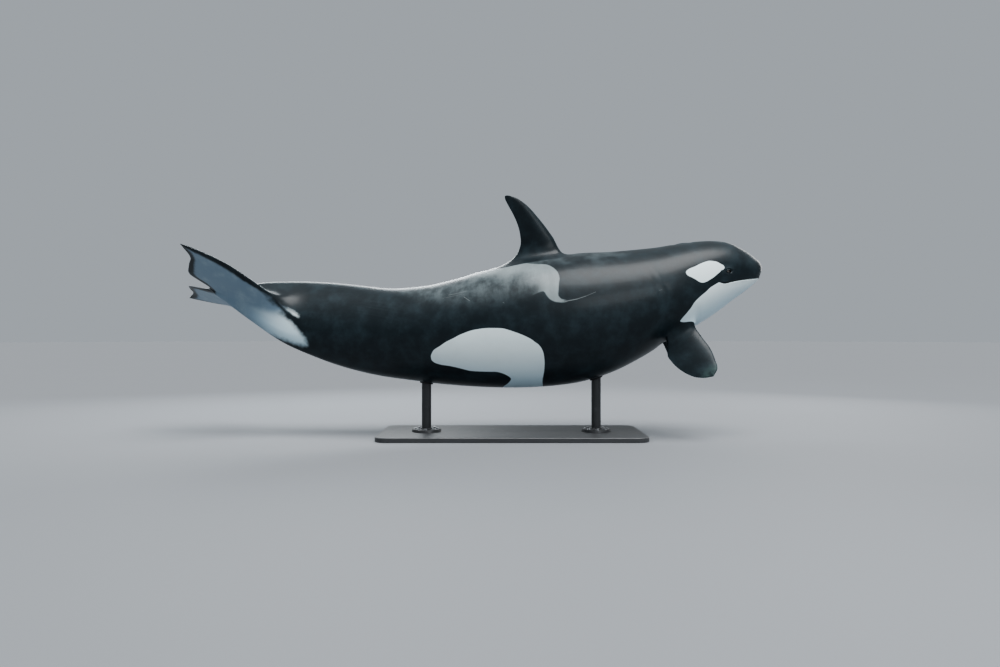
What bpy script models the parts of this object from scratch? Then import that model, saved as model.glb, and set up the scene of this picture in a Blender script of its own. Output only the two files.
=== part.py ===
"""Orca, still and life-size, on a display stand.

The animal is one lofted skin: rings round a bent and rolled axis, from the front of the mouth to the notch of
the flukes, with the fins, the eye sockets and the blowhole grown out of openings in the grid of rings. Thin
cuts then part it into the pieces that a person would name. Metres, +Z up, the head towards +X, the right flank
towards -Y, the floor at Z = 0.
"""

import math

import bpy
import bmesh
import numpy as np
from mathutils import Matrix

# Height of the axis table's zero above the floor, and the gap between neighbouring pieces.
LIFT = 0.905
GAP = 0.0004

# Axis: distance from the mouth front, x, z, lean of the ring's top towards the head, roll that lifts the right side.
AXIS = (
    (0.00, 2.274, 0.482, 26, 0),
    (0.10, 2.175, 0.494, 19, 0),
    (0.20, 2.075, 0.500, 11, 0),
    (0.30, 1.976, 0.495, 3, 0),
    (0.40, 1.878, 0.478, -4, 0),
    (0.50, 1.781, 0.453, -10, 0),
    (0.65, 1.638, 0.410, -15, -1),
    (0.80, 1.495, 0.363, -19, -2),
    (1.00, 1.306, 0.298, -18.5, -4),
    (1.20, 1.116, 0.236, -16.5, -5.5),
    (1.50, 0.825, 0.168, -12, -7),
    (1.80, 0.529, 0.120, -8.5, -7),
    (2.10, 0.231, 0.081, -7.2, -7),
    (2.40, -0.066, 0.045, -6.6, -6),
    (2.70, -0.364, 0.014, -4.8, -3),
    (3.00, -0.663, -0.005, -1.5, 1),
    (3.30, -0.962, -0.001, 3.5, 7),
    (3.60, -1.259, 0.034, 9.5, 13),
    (3.90, -1.552, 0.097, 12.5, 19),
    (4.20, -1.844, 0.170, 15.5, 23),
    (4.50, -2.131, 0.258, 18.5, 25),
    (4.80, -2.412, 0.361, 22.0, 25),
    (4.97, -2.560, 0.400, 22.5, 25),
)

# Sections: distance, height above the axis, depth below, half width, roundness above, roundness below.
SECTION = (
    (0.000, 0.000, 0.000, 0.000, 2.00, 2.00),
    (0.006, 0.080, 0.026, 0.060, 2.00, 2.00),
    (0.020, 0.122, 0.055, 0.104, 2.00, 2.00),
    (0.050, 0.156, 0.098, 0.146, 2.05, 2.00),
    (0.100, 0.188, 0.153, 0.184, 2.10, 2.00),
    (0.200, 0.250, 0.221, 0.236, 2.15, 2.00),
    (0.300, 0.308, 0.268, 0.280, 2.20, 2.00),
    (0.400, 0.338, 0.297, 0.318, 2.20, 2.00),
    (0.500, 0.361, 0.319, 0.352, 2.20, 2.05),
    (0.650, 0.388, 0.349, 0.396, 2.20, 2.10),
    (0.800, 0.416, 0.372, 0.434, 2.15, 2.15),
    (1.000, 0.462, 0.405, 0.472, 2.10, 2.20),
    (1.200, 0.505, 0.458, 0.500, 2.10, 2.20),
    (1.500, 0.553, 0.535, 0.528, 2.05, 2.20),
    (1.800, 0.573, 0.568, 0.538, 2.05, 2.15),
    (2.100, 0.565, 0.557, 0.530, 2.05, 2.10),
    (2.400, 0.520, 0.524, 0.502, 2.05, 2.10),
    (2.700, 0.465, 0.477, 0.458, 2.00, 2.05),
    (3.000, 0.424, 0.425, 0.402, 1.95, 2.00),
    (3.300, 0.402, 0.385, 0.340, 1.90, 1.95),
    (3.600, 0.400, 0.354, 0.270, 1.85, 1.90),
    (3.900, 0.380, 0.322, 0.200, 1.85, 1.85),
    (4.200, 0.330, 0.268, 0.140, 1.80, 1.80),
    (4.500, 0.228, 0.170, 0.095, 1.80, 1.80),
    (4.750, 0.095, 0.090, 0.062, 1.90, 1.90),
    (4.970, 0.018, 0.018, 0.020, 2.00, 2.00),
)

# Sideways bend of the tail: distance, offset towards +Y, turn of the rear towards -Y in degrees.
BEND = (
    (0.0, 0.0, 0.0),
    (3.2, 0.0, 0.0),
    (4.2, -0.012, 4.0),
    (4.97, -0.04, 8.0),
    (5.0, -0.04, 8.0),
)
# The notch between the flukes, as a distance along the axis.
NOTCH = 4.97


def unit(v):
    """The vector at length one."""
    v = np.asarray(v, float)
    return v / np.linalg.norm(v)


def curve(table, where):
    """Smooth curve through rows of (position, values...), without overshoot."""
    rows = np.array(table, float)
    x, y = rows[:, 0], rows[:, 1:]
    h = np.diff(x)[:, None]
    d = np.diff(y, axis=0) / h
    m = np.empty_like(y)
    m[0], m[-1] = d[0], d[-1]
    m[1:-1] = (d[:-1] * h[1:] + d[1:] * h[:-1]) / (h[1:] + h[:-1])
    most = 3 * np.minimum(np.abs(d[:-1]), np.abs(d[1:]))
    m[1:-1] = np.where(d[:-1] * d[1:] <= 0, 0, np.clip(m[1:-1], -most, most))
    where = np.atleast_1d(np.asarray(where, float))
    k = np.clip(np.searchsorted(x, where) - 1, 0, len(x) - 2)
    u = np.clip((where - x[k]) / (x[k + 1] - x[k]), 0, 1)[:, None]
    a, b = u * u * (3 - 2 * u), u * (1 - u)
    return (1 - a) * y[k] + a * y[k + 1] + b * h[k] * ((1 - u) * m[k] - u * m[k + 1])


def frame(s):
    """Centre, right vector and dorsal vector of the ring at each distance."""
    s = np.atleast_1d(np.asarray(s, float))
    x, z, lean, roll = curve(AXIS, s).T
    side, turn = curve(BEND, s).T
    lean, roll, turn = np.radians(lean)[:, None], np.radians(roll)[:, None], np.radians(turn)[:, None]
    centre = np.stack([x, side, z + LIFT], -1)
    up = np.hstack([np.sin(lean) * np.cos(turn), np.sin(lean) * np.sin(turn), np.cos(lean)])
    out = np.hstack([np.sin(turn), -np.cos(turn), 0 * turn])
    return centre, out * np.cos(roll) + up * np.sin(roll), up * np.cos(roll) - out * np.sin(roll)


def body(s, t, off=0.0):
    """Skin points at distances s and angles t in degrees: 0 the belly, 90 the right side, 180 the back."""
    s, t = np.broadcast_arrays(np.asarray(s, float), np.asarray(t, float))
    shape = s.shape
    s, t = s.ravel(), np.radians(t.ravel())
    centre, right, dorsal = frame(s)
    table = [(math.sqrt(row[0]),) + row[1:] for row in SECTION]
    up, down, wide, round_up, round_down = curve(table, np.sqrt(np.maximum(s, 0))).T
    rise, reach = -np.cos(t), np.sin(t)
    n = np.where(rise > 0, round_up, round_down)
    tall = np.maximum(np.where(rise > 0, up, down) - off, 0.001)
    wide = np.maximum(wide - off, 0.001)
    fit = (np.abs(reach) ** n + np.abs(rise) ** n) ** (-1 / n)
    points = centre + (wide * reach * fit)[:, None] * right + (tall * rise * fit)[:, None] * dorsal
    return points.reshape(shape + (3,))


def outward(s, t):
    """Unit outward direction of the skin."""
    ds = body(np.asarray(s) + 0.004, t) - body(np.asarray(s) - 0.004, t)
    dt = body(s, np.asarray(t) + 1) - body(s, np.asarray(t) - 1)
    n = np.cross(dt, ds)
    return n / np.maximum(np.linalg.norm(n, axis=-1, keepdims=True), 1e-12)


# The mouth line as an angle round each ring, the column of the grid that follows it, and where the gape ends.
MOUTH_COLUMN = 81.0
MOUTH = (
    (0.0, 88.0),
    (0.03, 84.5),
    (0.062, 82.3),
    (0.113, 80.2),
    (0.20, 78.8),
    (0.30, 78.4),
    (0.36, 78.6),
    (0.41, 81.0),
    (0.60, 81.0),
)
GAPE = 0.405
CREASE, LIP = 0.006, 0.003


def mouth_angle(s):
    """Angle of the mouth line at each distance."""
    return curve(MOUTH, np.clip(s, 0, 0.6))[:, 0]


def warped(s, t):
    """Angle of a grid column after the mouth's own column is drawn onto the mouth line."""
    s, t = np.broadcast_arrays(np.asarray(s, float), np.asarray(t, float))
    shift = mouth_angle(s.ravel()).reshape(s.shape) - MOUTH_COLUMN
    right = np.where(t > 180, 360 - t, t)
    ramp = np.where(right < MOUTH_COLUMN, right / MOUTH_COLUMN, (180 - right) / (180 - MOUTH_COLUMN))
    return t + np.where(t > 180, -1, 1) * shift * ramp


class Skin:
    """A growing closed skin: points and faces."""

    def __init__(self):
        self.points, self.faces, self.count = [], [], 0

    def add(self, points):
        """Adds points and returns their numbers."""
        points = np.asarray(points, float).reshape(-1, 3)
        self.points.append(points)
        self.count += len(points)
        return np.arange(self.count - len(points), self.count)

    def strip(self, outer, inner, turned_from=None):
        """Faces between two closed loops that run the same way round.

        From turned_from on the diagonals lean the other way, so that a fin's two faces are split alike.
        """
        n = len(outer)
        for i in range(n):
            a, b, c, d = outer[i], outer[(i + 1) % n], inner[(i + 1) % n], inner[i]
            if turned_from is not None and i >= turned_from:
                self.faces += [(a, b, d), (b, c, d)]
            else:
                self.faces += [(a, b, c), (a, c, d)]

    def cap(self, loop, ni, nj):
        """Closes a loop of 2 (ni + nj) points with a grid."""
        at = np.concatenate(self.points)[loop]
        grid = np.empty((ni + 1, nj + 1), int)
        for c in range(ni + 1):
            grid[c, 0], grid[c, nj] = loop[c], loop[2 * ni + nj - c]
        for r in range(1, nj):
            grid[ni, r], grid[0, r] = loop[ni + r], loop[2 * ni + 2 * nj - r]
        if ni > 1 and nj > 1:
            for c in range(1, ni):
                a, b = at[c], at[2 * ni + nj - c]
                grid[c, 1:nj] = self.add([a + (b - a) * r / nj for r in range(1, nj)])
        for c in range(ni):
            for r in range(nj):
                self.faces.append((grid[c, r], grid[c + 1, r], grid[c + 1, r + 1], grid[c, r + 1]))


# Where a fin section's rounded leading and trailing edges begin, as shares of its chord.
NOSE, TAIL = 0.035, 0.985
# How far the fillet at a fin's root follows the skin before it turns up.
FILLET_PULL = 1.1


def foil(u):
    """Half thickness of a wing section of thickness one, at u from 0 in front to 1 behind."""
    return 1.4845 * np.sqrt(u) - 0.63 * u - 1.758 * u**2 + 1.4215 * u**3 - 0.5075 * u**4


def fin_loop(lead, trail, normal, thick, ni, nj):
    """One closed section of a fin, its first face towards the normal."""
    face = NOSE + (TAIL - NOSE) * (1 - np.cos(np.pi * np.arange(ni + 1) / ni)) / 2
    turn = np.arange(1, nj) / nj
    behind, ahead = TAIL + (1 - TAIL) * np.sin(np.pi * turn), NOSE * (1 - np.sin(np.pi * turn))
    u = np.concatenate([face, behind, face[::-1], ahead])
    edges = foil(TAIL) * (1 - 2 * turn), foil(NOSE) * (2 * turn - 1)
    side = np.concatenate([foil(face), edges[0], -foil(face[::-1]), edges[1]])
    return lead + np.outer(u, trail - lead) + np.outer(side * thick, normal)


def grow_fin(skin, hole, sections, ni, nj, fillet=3, steps=7):
    """Fills a hole with a fin: fillet rings, then one ring per section, then a cap.

    sections is a function of v in 0..1 that gives the lead, the trail, the normal and the thickness.
    """
    loop, loop_st = hole
    first = fin_loop(*sections(0.0), ni, nj)
    rise = fin_loop(*sections(0.04), ni, nj) - first
    start = np.concatenate(skin.points)[loop]
    normals = outward(loop_st[:, 0], loop_st[:, 1])
    across = first - start
    span = np.linalg.norm(across, axis=1, keepdims=True)
    flat = across - (across * normals).sum(1, keepdims=True) * normals
    flat /= np.maximum(np.linalg.norm(flat, axis=1, keepdims=True), 1e-9)
    rise = 0.6 * unit(rise.mean(0)) + 0.4 * rise / np.linalg.norm(rise, axis=1, keepdims=True)
    before = loop
    for k in range(1, fillet + 1):
        u = k / fillet
        a, b = u * u * (3 - 2 * u), u * (1 - u)
        pull = span * ((1 - u) * flat - u * rise) * FILLET_PULL
        now = skin.add((1 - a) * start + a * first + b * pull)
        skin.strip(before, now, ni + nj // 2)
        before = now
    for v in np.arange(1, steps + 1) / steps:
        now = skin.add(fin_loop(*sections(float(v)), ni, nj))
        skin.strip(before, now, ni + nj // 2)
        before = now
    skin.cap(before, ni, nj)


# Dorsal fin: height above the axis at the ring of FIN_AT, front and rear of its chord behind that ring, thickness.
FIN_AT = 2.05
DORSAL = (
    (0.0, 0.630, -0.325, 0.026, 0.084),
    (0.1, 0.700, -0.293, 0.010, 0.076),
    (0.2, 0.765, -0.258, 0.005, 0.069),
    (0.3, 0.830, -0.222, 0.008, 0.061),
    (0.4, 0.890, -0.185, 0.019, 0.054),
    (0.5, 0.945, -0.149, 0.035, 0.047),
    (0.6, 0.995, -0.115, 0.053, 0.041),
    (0.7, 1.040, -0.078, 0.072, 0.034),
    (0.8, 1.077, -0.040, 0.086, 0.028),
    (0.9, 1.107, -0.002, 0.096, 0.021),
    (1.0, 1.128, 0.040, 0.097, 0.012),
)

# Flippers, 1 right and -1 left: root on the flank and the directions of span and chord.
FLIPPER_SET = {
    1: ((1.530, -0.240, 0.047), (0.50, -0.50, -0.70), (-0.81, 0.0, -0.58)),
    -1: ((1.580, 0.240, 0.060), (0.93, 0.47, -0.69), (-0.62, -0.06, -0.51)),
}
# Their sections: distance out along the span, front and rear of the chord, thickness.
FLIPPER = (
    (0.0, 0.090, -0.108, 0.196, 0.070),
    (0.1, 0.130, -0.104, 0.222, 0.066),
    (0.2, 0.180, -0.098, 0.235, 0.062),
    (0.3, 0.235, -0.093, 0.235, 0.056),
    (0.4, 0.290, -0.089, 0.229, 0.050),
    (0.5, 0.340, -0.079, 0.217, 0.044),
    (0.6, 0.385, -0.065, 0.200, 0.039),
    (0.7, 0.430, -0.048, 0.176, 0.033),
    (0.8, 0.468, -0.034, 0.146, 0.028),
    (0.9, 0.497, -0.018, 0.104, 0.022),
    (1.0, 0.514, 0.012, 0.064, 0.014),
)

# Flukes: how far the right and the left one slope up, then front point (behind the notch, out from the axis)
# and rear point of each section, and its thickness.
FLUKE_UP = {1: 7.0, -1: 11.0}
FLUKE = (
    (0.00, -0.640, 0.190, 0.100, 0.080, 0.082),
    (0.12, -0.530, 0.265, 0.165, 0.130, 0.072),
    (0.25, -0.420, 0.328, 0.190, 0.190, 0.062),
    (0.38, -0.300, 0.384, 0.186, 0.255, 0.052),
    (0.50, -0.175, 0.435, 0.180, 0.320, 0.043),
    (0.62, -0.060, 0.478, 0.170, 0.378, 0.035),
    (0.73, 0.040, 0.510, 0.180, 0.425, 0.028),
    (0.83, 0.120, 0.533, 0.202, 0.466, 0.022),
    (0.92, 0.185, 0.550, 0.228, 0.505, 0.016),
    (1.00, 0.232, 0.556, 0.248, 0.538, 0.010),
)
# The far fluke's trailing edge bulges back and curls up by this much at mid span.
FAR_BULGE, FAR_CURL = 0.040, 0.020


def dorsal_section(v):
    """Section of the dorsal fin."""
    centre, right, dorsal = (q[0] for q in frame(FIN_AT))
    back = unit((frame(FIN_AT + 0.05)[0] - frame(FIN_AT - 0.05)[0])[0])
    high, front, rear, thick = curve(DORSAL, v)[0]
    base = centre + dorsal * high
    return base + back * front, base + back * rear, -right, thick


def flipper_section(side):
    """The section function of the flipper on one side: 1 right, -1 left."""
    root, span, chord = (np.array(q, float) for q in FLIPPER_SET[side])
    root, span = root + (0, 0, LIFT), unit(span)
    chord = unit(chord - chord @ span * span)
    face = np.cross(chord, span)

    def section(v):
        """Section at v."""
        out, front, rear, thick = curve(FLIPPER, v)[0]
        return root + span * out + chord * front, root + span * out + chord * rear, face, thick

    return section


def fluke_point(side, behind, out):
    """A point of the fluke's middle surface, and its dorsal direction."""
    centre, right, dorsal = (q[0] for q in frame(min(NOTCH + behind, NOTCH)))
    if behind > 0:
        centre = centre + unit((frame(NOTCH)[0] - frame(NOTCH - 0.03)[0])[0]) * behind
    rise = math.radians(FLUKE_UP[side])
    lateral = right * side * math.cos(rise) + dorsal * math.sin(rise)
    return centre + lateral * out, dorsal * math.cos(rise) - right * side * math.sin(rise)


def fluke_section(side):
    """The section function of the fluke on one side: 1 right, -1 left."""

    def section(v):
        """Section at v."""
        a0, b0, a1, b1, thick = curve(FLUKE, v)[0]
        far = 4 * v * (1 - v) if side < 0 else 0.0
        lead, up = fluke_point(side, a0, b0)
        trail, also = fluke_point(side, a1 + FAR_BULGE * far, b1)
        trail = trail + also * FAR_CURL * far
        return lead, trail, unit(up + also) * side, thick

    return section


# Eye: its place on the head, the socket's radius and depth, the eyeball's radius, half sizes of the lid opening.
EYE_AT, EYE_ANGLE = 0.333, 98.7
EYE_RADIUS, EYE_DEPTH, BALL = 0.026, 0.0235, 0.0246
LID_LONG, LID_HIGH = 0.0235, 0.0125
SOCKET_ROOM = 0.0024


def eye_axes(side):
    """Centre of the lid opening, then the rearward, upward and outward directions there."""
    s = EYE_AT
    t = float(warped(s, EYE_ANGLE if side > 0 else 360 - EYE_ANGLE))
    back = unit(body(s + 0.01, t) - body(s - 0.01, t))
    out = outward(s, t)
    rise = unit(np.cross(back, out))
    if rise @ (body(s, t + 1) - body(s, t - 1)) < 0:
        rise = -rise
    return body(s, t), back, rise, out


def grow_eye(skin, hole, side):
    """Fills a hole with the lids and the socket behind them."""
    loop, loop_st = hole
    at, back, rise, out = eye_axes(side)
    start = np.concatenate(skin.points)[loop]
    local = np.stack([(start - at) @ back, (start - at) @ rise, (start - at) @ out], -1)
    angle = np.arctan2(local[:, 1], local[:, 0])
    cos, sin = np.cos(angle), np.sin(angle)
    up = np.where(sin * side > 0, 1.0, 0.8)

    def almond(long, high):
        """Outline of the lids."""
        return np.stack([long * cos, high * np.sign(sin) * np.abs(sin) ** 1.35 * up], -1)

    def ball(flat, gap):
        """Depth of the eyeball's surface, grown by a gap, under flat points."""
        r = (EYE_RADIUS + gap) ** 2 - (flat**2).sum(1)
        return -EYE_DEPTH + np.sqrt(np.maximum(r, 0.0001))

    rings = []
    for share, swell in ((0.33, 0.002), (0.66, 0.0045)):
        flat = local[:, :2] * (1 - share) + almond(LID_LONG + 0.008, LID_HIGH + 0.009) * share
        rings.append(np.column_stack([flat, local[:, 2] * (1 - share) ** 2 + swell]))
    for grow, high in ((0.0085, 0.0052), (0.0045, 0.0030), (0.0022, 0.0058)):
        flat = almond(LID_LONG + grow, LID_HIGH + grow)
        rings.append(np.column_stack([flat, np.maximum(ball(flat, 0.001), -0.006) + high]))
    flat = almond(LID_LONG, LID_HIGH)
    rings.append(np.column_stack([flat, np.maximum(ball(flat, 0.001), -0.006) + 0.0035]))
    rings.append(np.column_stack([flat, np.maximum(ball(flat, 0.001), -0.0085) + 0.0006]))
    for polar in (66, 90, 120, 150):
        p = math.radians(polar)
        r = EYE_RADIUS + SOCKET_ROOM
        deep = np.full(len(cos), -EYE_DEPTH + r * math.cos(p))
        rings.append(np.column_stack([r * math.sin(p) * cos, r * math.sin(p) * sin, deep]))
    before = loop
    for ring in rings:
        now = skin.add(at + ring[:, :1] * back + ring[:, 1:2] * rise + ring[:, 2:] * out)
        skin.strip(before, now)
        before = now
    middle = skin.add(at - out * (EYE_DEPTH + EYE_RADIUS + SOCKET_ROOM))[0]
    for a, b in zip(before, np.roll(before, -1)):
        skin.faces.append((a, b, middle))


# Blowhole: distance along the back, and the radius of its crescent.
BLOW_AT, BLOW_RADIUS = 0.60, 0.038


def grow_blowhole(skin, hole):
    """Fills a hole on top of the head with a low rim and a crescent nostril, closed below."""
    loop, loop_st = hole
    at = body(BLOW_AT, 180.0)
    back = unit(body(BLOW_AT + 0.01, 180.0) - body(BLOW_AT - 0.01, 180.0))
    out = outward(BLOW_AT, 180.0)
    left = np.cross(back, out)
    if left @ (body(BLOW_AT, 184.0) - at) < 0:
        left = -left
    start = np.concatenate(skin.points)[loop]
    local = np.stack([(start - at) @ back, (start - at) @ left, (start - at) @ out], -1)
    angle = np.arctan2(local[:, 1], local[:, 0])
    cos, sin = np.cos(angle), np.sin(angle)

    def crescent(half, spread):
        """Bent slit with its ends towards the snout."""
        turn = np.radians(spread) * sin
        r = BLOW_RADIUS + half * np.sign(cos) * np.abs(cos) ** 0.6
        return np.stack([r * np.cos(turn) - BLOW_RADIUS + 0.004, r * np.sin(turn)], -1)

    rings = []
    for share, swell in ((0.5, 0.003), (0.8, 0.005)):
        flat = local[:, :2] * (1 - share) + crescent(0.020, 72) * share
        rings.append(np.column_stack([flat, local[:, 2] * (1 - share) ** 1.5 + swell]))
    for half, deep in ((0.0130, 0.0062), (0.0075, 0.0040), (0.0045, -0.004), (0.0030, -0.022)):
        rings.append(np.column_stack([crescent(half, 66), np.full(len(cos), deep)]))
    before = loop
    for ring in rings:
        now = skin.add(at + ring[:, :1] * back + ring[:, 1:2] * left + ring[:, 2:] * out)
        skin.strip(before, now)
        before = now
    right_front, tip, right_rear, rear, left_rear, other_tip, left_front, front = before
    skin.faces += [(right_front, tip, right_rear), (left_front, left_rear, other_tip)]
    skin.faces += [(right_front, right_rear, rear, front), (front, rear, left_rear, left_front)]


def spread(breaks):
    """Values evenly spread between breaks given as (value, steps to the next)."""
    values = []
    for (a, n), (b, _) in zip(breaks[:-1], breaks[1:]):
        values += list(a + (b - a) * np.arange(n) / n)
    return values + [breaks[-1][0]]


# The grid: distances of its rings and angles of its columns, closer where the face and the fins need it.
ROWS = (
    (0.0015, 1), (0.006, 1), (0.020, 1), (0.045, 1), (0.085, 2), (0.19, 1), (0.272, 4), (0.394, 2), (0.54, 2),
    (0.66, 1), (0.70, 4), (0.98, 4), (1.40, 2), (1.66, 6), (2.34, 5), (3.00, 5), (3.75, 3), (4.16, 8), (4.90, 1),
    (NOTCH, 0),
)
COLUMNS = (
    (0, 1), (24, 2), (52, 1), (64, 1), (76, 1), (MOUTH_COLUMN, 1), (86, 1), (91, 4), (106, 1), (125, 1), (147, 1),
    (169, 1), (180, 0),
)


def build_skin():
    """The whole animal as one closed skin."""
    rows, right = np.array(spread(ROWS)), spread(COLUMNS)
    columns = np.array(right + [360 - t for t in right[-2:0:-1]])
    count = len(columns)
    skin, holes = Skin(), []
    st = np.empty((len(rows), count, 2))
    for i, s in enumerate(rows):
        st[i, :, 0] = s
        st[i, :, 1] = warped(s, columns)
    points = body(st[..., 0], st[..., 1])
    # A shallow crease with rounded lips runs along the mouth.
    for i, s in enumerate(rows):
        if 0.001 < s < GAPE:
            fade = min(1, (GAPE - s) / 0.06)
            for j in range(count):
                t = columns[j] if columns[j] <= 180 else 360 - columns[j]
                if abs(t - MOUTH_COLUMN) < 0.01:
                    points[i, j] -= outward(s, st[i, j, 1]) * CREASE * fade
                elif abs(abs(t - MOUTH_COLUMN) - 5) < 0.01:
                    points[i, j] += outward(s, st[i, j, 1]) * LIP * fade
    number = skin.add(points).reshape(len(rows), count)

    def hole(s0, s1, t0, t1):
        """Loop of a rectangular opening, with its size in cells."""
        i0, i1 = (int(np.argmin(np.abs(rows - s))) for s in (s0, s1))
        j0, j1 = (int(np.argmin(np.abs(columns - t))) for t in (t0, t1))
        holes.append((i0, i1, j0, j1))
        ij = [(i, j1) for i in range(i0, i1 + 1)]
        ij += [(i1, j) for j in range(j1 - 1, j0, -1)]
        ij += [(i, j0) for i in range(i1, i0 - 1, -1)]
        ij += [(i0, j) for j in range(j0 + 1, j1)]
        loop = np.array([number[i, j] for i, j in ij])
        return (loop, np.array([st[i, j] for i, j in ij])), i1 - i0, j1 - j0

    dorsal = hole(1.66, 2.34, 169, 191)
    flipper_right, flipper_left = hole(0.70, 0.98, 24, 52), hole(0.70, 0.98, 308, 336)
    fluke_right, fluke_left = hole(4.16, 4.90, 52, 125), hole(4.16, 4.90, 235, 308)
    eye_right, eye_left = hole(0.272, 0.394, 91, 106), hole(0.272, 0.394, 254, 269)
    blow = hole(0.54, 0.66, 169, 191)
    for i in range(len(rows) - 1):
        for j in range(count):
            if any(i0 <= i < i1 and j0 <= j < j1 for i0, i1, j0, j1 in holes):
                continue
            k = (j + 1) % count
            skin.faces.append((number[i, j], number[i, k], number[i + 1, k], number[i + 1, j]))
    front = skin.add(body(0.0, 90.0))[0]
    end = skin.add(frame(NOTCH)[0])[0]
    for j in range(count):
        k = (j + 1) % count
        skin.faces.append((front, number[0, k], number[0, j]))
        skin.faces.append((number[-1, j], number[-1, k], end))
    grow_fin(skin, dorsal[0], dorsal_section, *dorsal[1:])
    grow_fin(skin, flipper_right[0], flipper_section(1), *flipper_right[1:])
    grow_fin(skin, flipper_left[0], flipper_section(-1), *flipper_left[1:])
    grow_fin(skin, fluke_right[0], fluke_section(1), *fluke_right[1:], steps=8)
    grow_fin(skin, fluke_left[0], fluke_section(-1), *fluke_left[1:], steps=8)
    grow_eye(skin, eye_right[0], 1)
    grow_eye(skin, eye_left[0], -1)
    grow_blowhole(skin, blow[0])
    return np.concatenate(skin.points), skin.faces


def solid_rings(rings):
    """Closed block lofted through rings of equal count, its ends filled."""
    n = len(rings[0])
    points = np.concatenate([np.asarray(r, float) for r in rings])
    faces = []
    for k in range(len(rings) - 1):
        for i in range(n):
            j = (i + 1) % n
            faces.append((k * n + i, k * n + j, (k + 1) * n + j, (k + 1) * n + i))
    faces.append(tuple(range(n))[::-1])
    faces.append(tuple((len(rings) - 1) * n + i for i in range(n)))
    return points, faces


def solid_strip(edges, rows, across, grow=0.0, outer=0.030, inner=0.028):
    """Block that straddles the skin: edges gives its two angles at each of the distances rows.

    outer and inner are how far it reaches out of the skin and into it, and grow makes it larger all round.
    """
    s = np.array(rows, float)
    s[0], s[-1] = s[0] - grow, s[-1] + grow
    ends = np.array([edges(float(q)) for q in rows]) + np.array((-1, 1)) * math.degrees(grow / GIRTH)
    t = ends[:, :1] + (ends[:, 1:] - ends[:, :1]) * np.linspace(0, 1, across + 1)
    layers = [body(s[:, None], t, -outer - 5 * grow), body(s[:, None], t, inner + grow)]
    points = np.concatenate([q.reshape(-1, 3) for q in layers])
    w, size, last = across + 1, len(s) * (across + 1), len(s) - 1

    def at(i, j, layer):
        """Number of one point."""
        return layer * size + i * w + j

    faces = []
    for i in range(last):
        for j in range(across):
            faces.append((at(i, j, 0), at(i, j + 1, 0), at(i + 1, j + 1, 0), at(i + 1, j, 0)))
            faces.append((at(i, j, 1), at(i + 1, j, 1), at(i + 1, j + 1, 1), at(i, j + 1, 1)))
        faces.append((at(i, 0, 0), at(i + 1, 0, 0), at(i + 1, 0, 1), at(i, 0, 1)))
        faces.append((at(i, across, 0), at(i, across, 1), at(i + 1, across, 1), at(i + 1, across, 0)))
    for j in range(across):
        faces.append((at(0, j, 0), at(0, j, 1), at(0, j + 1, 1), at(0, j + 1, 0)))
        faces.append((at(last, j, 0), at(last, j + 1, 0), at(last, j + 1, 1), at(last, j, 1)))
    return points, faces


# Radius by which a gap is turned into an angle at the edges of an inlay.
GIRTH = 0.30


def slab(front, rear, gap):
    """Region between two cuts across the body, each given by its distance at the back and at the belly."""
    rings = []
    for (top, bottom), shift in ((front, gap), (rear, -gap)):
        ctop, _, utop = (q[0] for q in frame(top))
        cbot, _, ubot = (q[0] for q in frame(bottom))
        high, low = ctop + utop * 0.45, cbot - ubot * 0.45
        along = unit(high - low) * 1.5
        middle = (high + low) / 2 - unit(np.cross((0, 1, 0), along)) * shift
        side = np.array((0, 1.4, 0))
        rings.append([middle + along - side, middle - along - side, middle - along + side, middle + along + side])
    return rings


def piece_region(front, rear, half):
    """Region between two cuts, or open past either end of the animal where a cut is None."""
    if front is None:
        rings = slab((0.02, 0.02), rear, half)
        rings[0] = [q + (1.2, 0, 0) for q in rings[0]]
    elif rear is None:
        rings = slab(front, (4.9, 4.9), half)
        rings[1] = [q + (-1.2, 0, 0.5) for q in rings[1]]
    else:
        rings = slab(front, rear, half)
    return solid_rings(rings)


# Upper edge of the white chin and throat behind the gape: distance and angle.
THROAT = (
    (0.405, 81.0),
    (0.434, 83.8),
    (0.476, 81.7),
    (0.528, 79.2),
    (0.572, 76.4),
    (0.638, 73.0),
    (0.695, 69.3),
    (0.745, 64.4),
    (0.793, 59.2),
    (0.836, 54.6),
    (0.900, 48.0),
)
THROAT_END = 0.85


def jaw_block(gap):
    """The block under the mouth and in front of the end of the white throat."""
    centre, right, dorsal = (q[0] for q in frame(0.0))
    tip = centre + unit(np.cross(dorsal, right)) * 0.08 + dorsal * (0.001 + gap)
    wide, tall = right * 0.12, dorsal * 0.10
    rings = [[tip + wide, tip - wide, tip - wide - tall, tip + wide - tall]]
    stops = [0.004, 0.03, 0.062] + list(np.linspace(0.113, GAPE, 7)) + [row[0] for row in THROAT[1:-1]]
    for s in stops + [THROAT_END + gap]:
        centre, right, dorsal = (q[0] for q in frame(s))
        edge = body(s, float(curve(MOUTH[:7] + THROAT, s)[0, 0])) - centre
        high = dorsal * (float(edge @ dorsal) + gap)
        wide = right * (abs(float(edge @ right)) + 0.06)
        low = dorsal * float((body(s, 0.0) - centre) @ dorsal - 0.05)
        rings.append([centre + wide + high, centre - wide + high, centre - wide + low, centre + wide + low])
    return solid_rings(rings)


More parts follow.
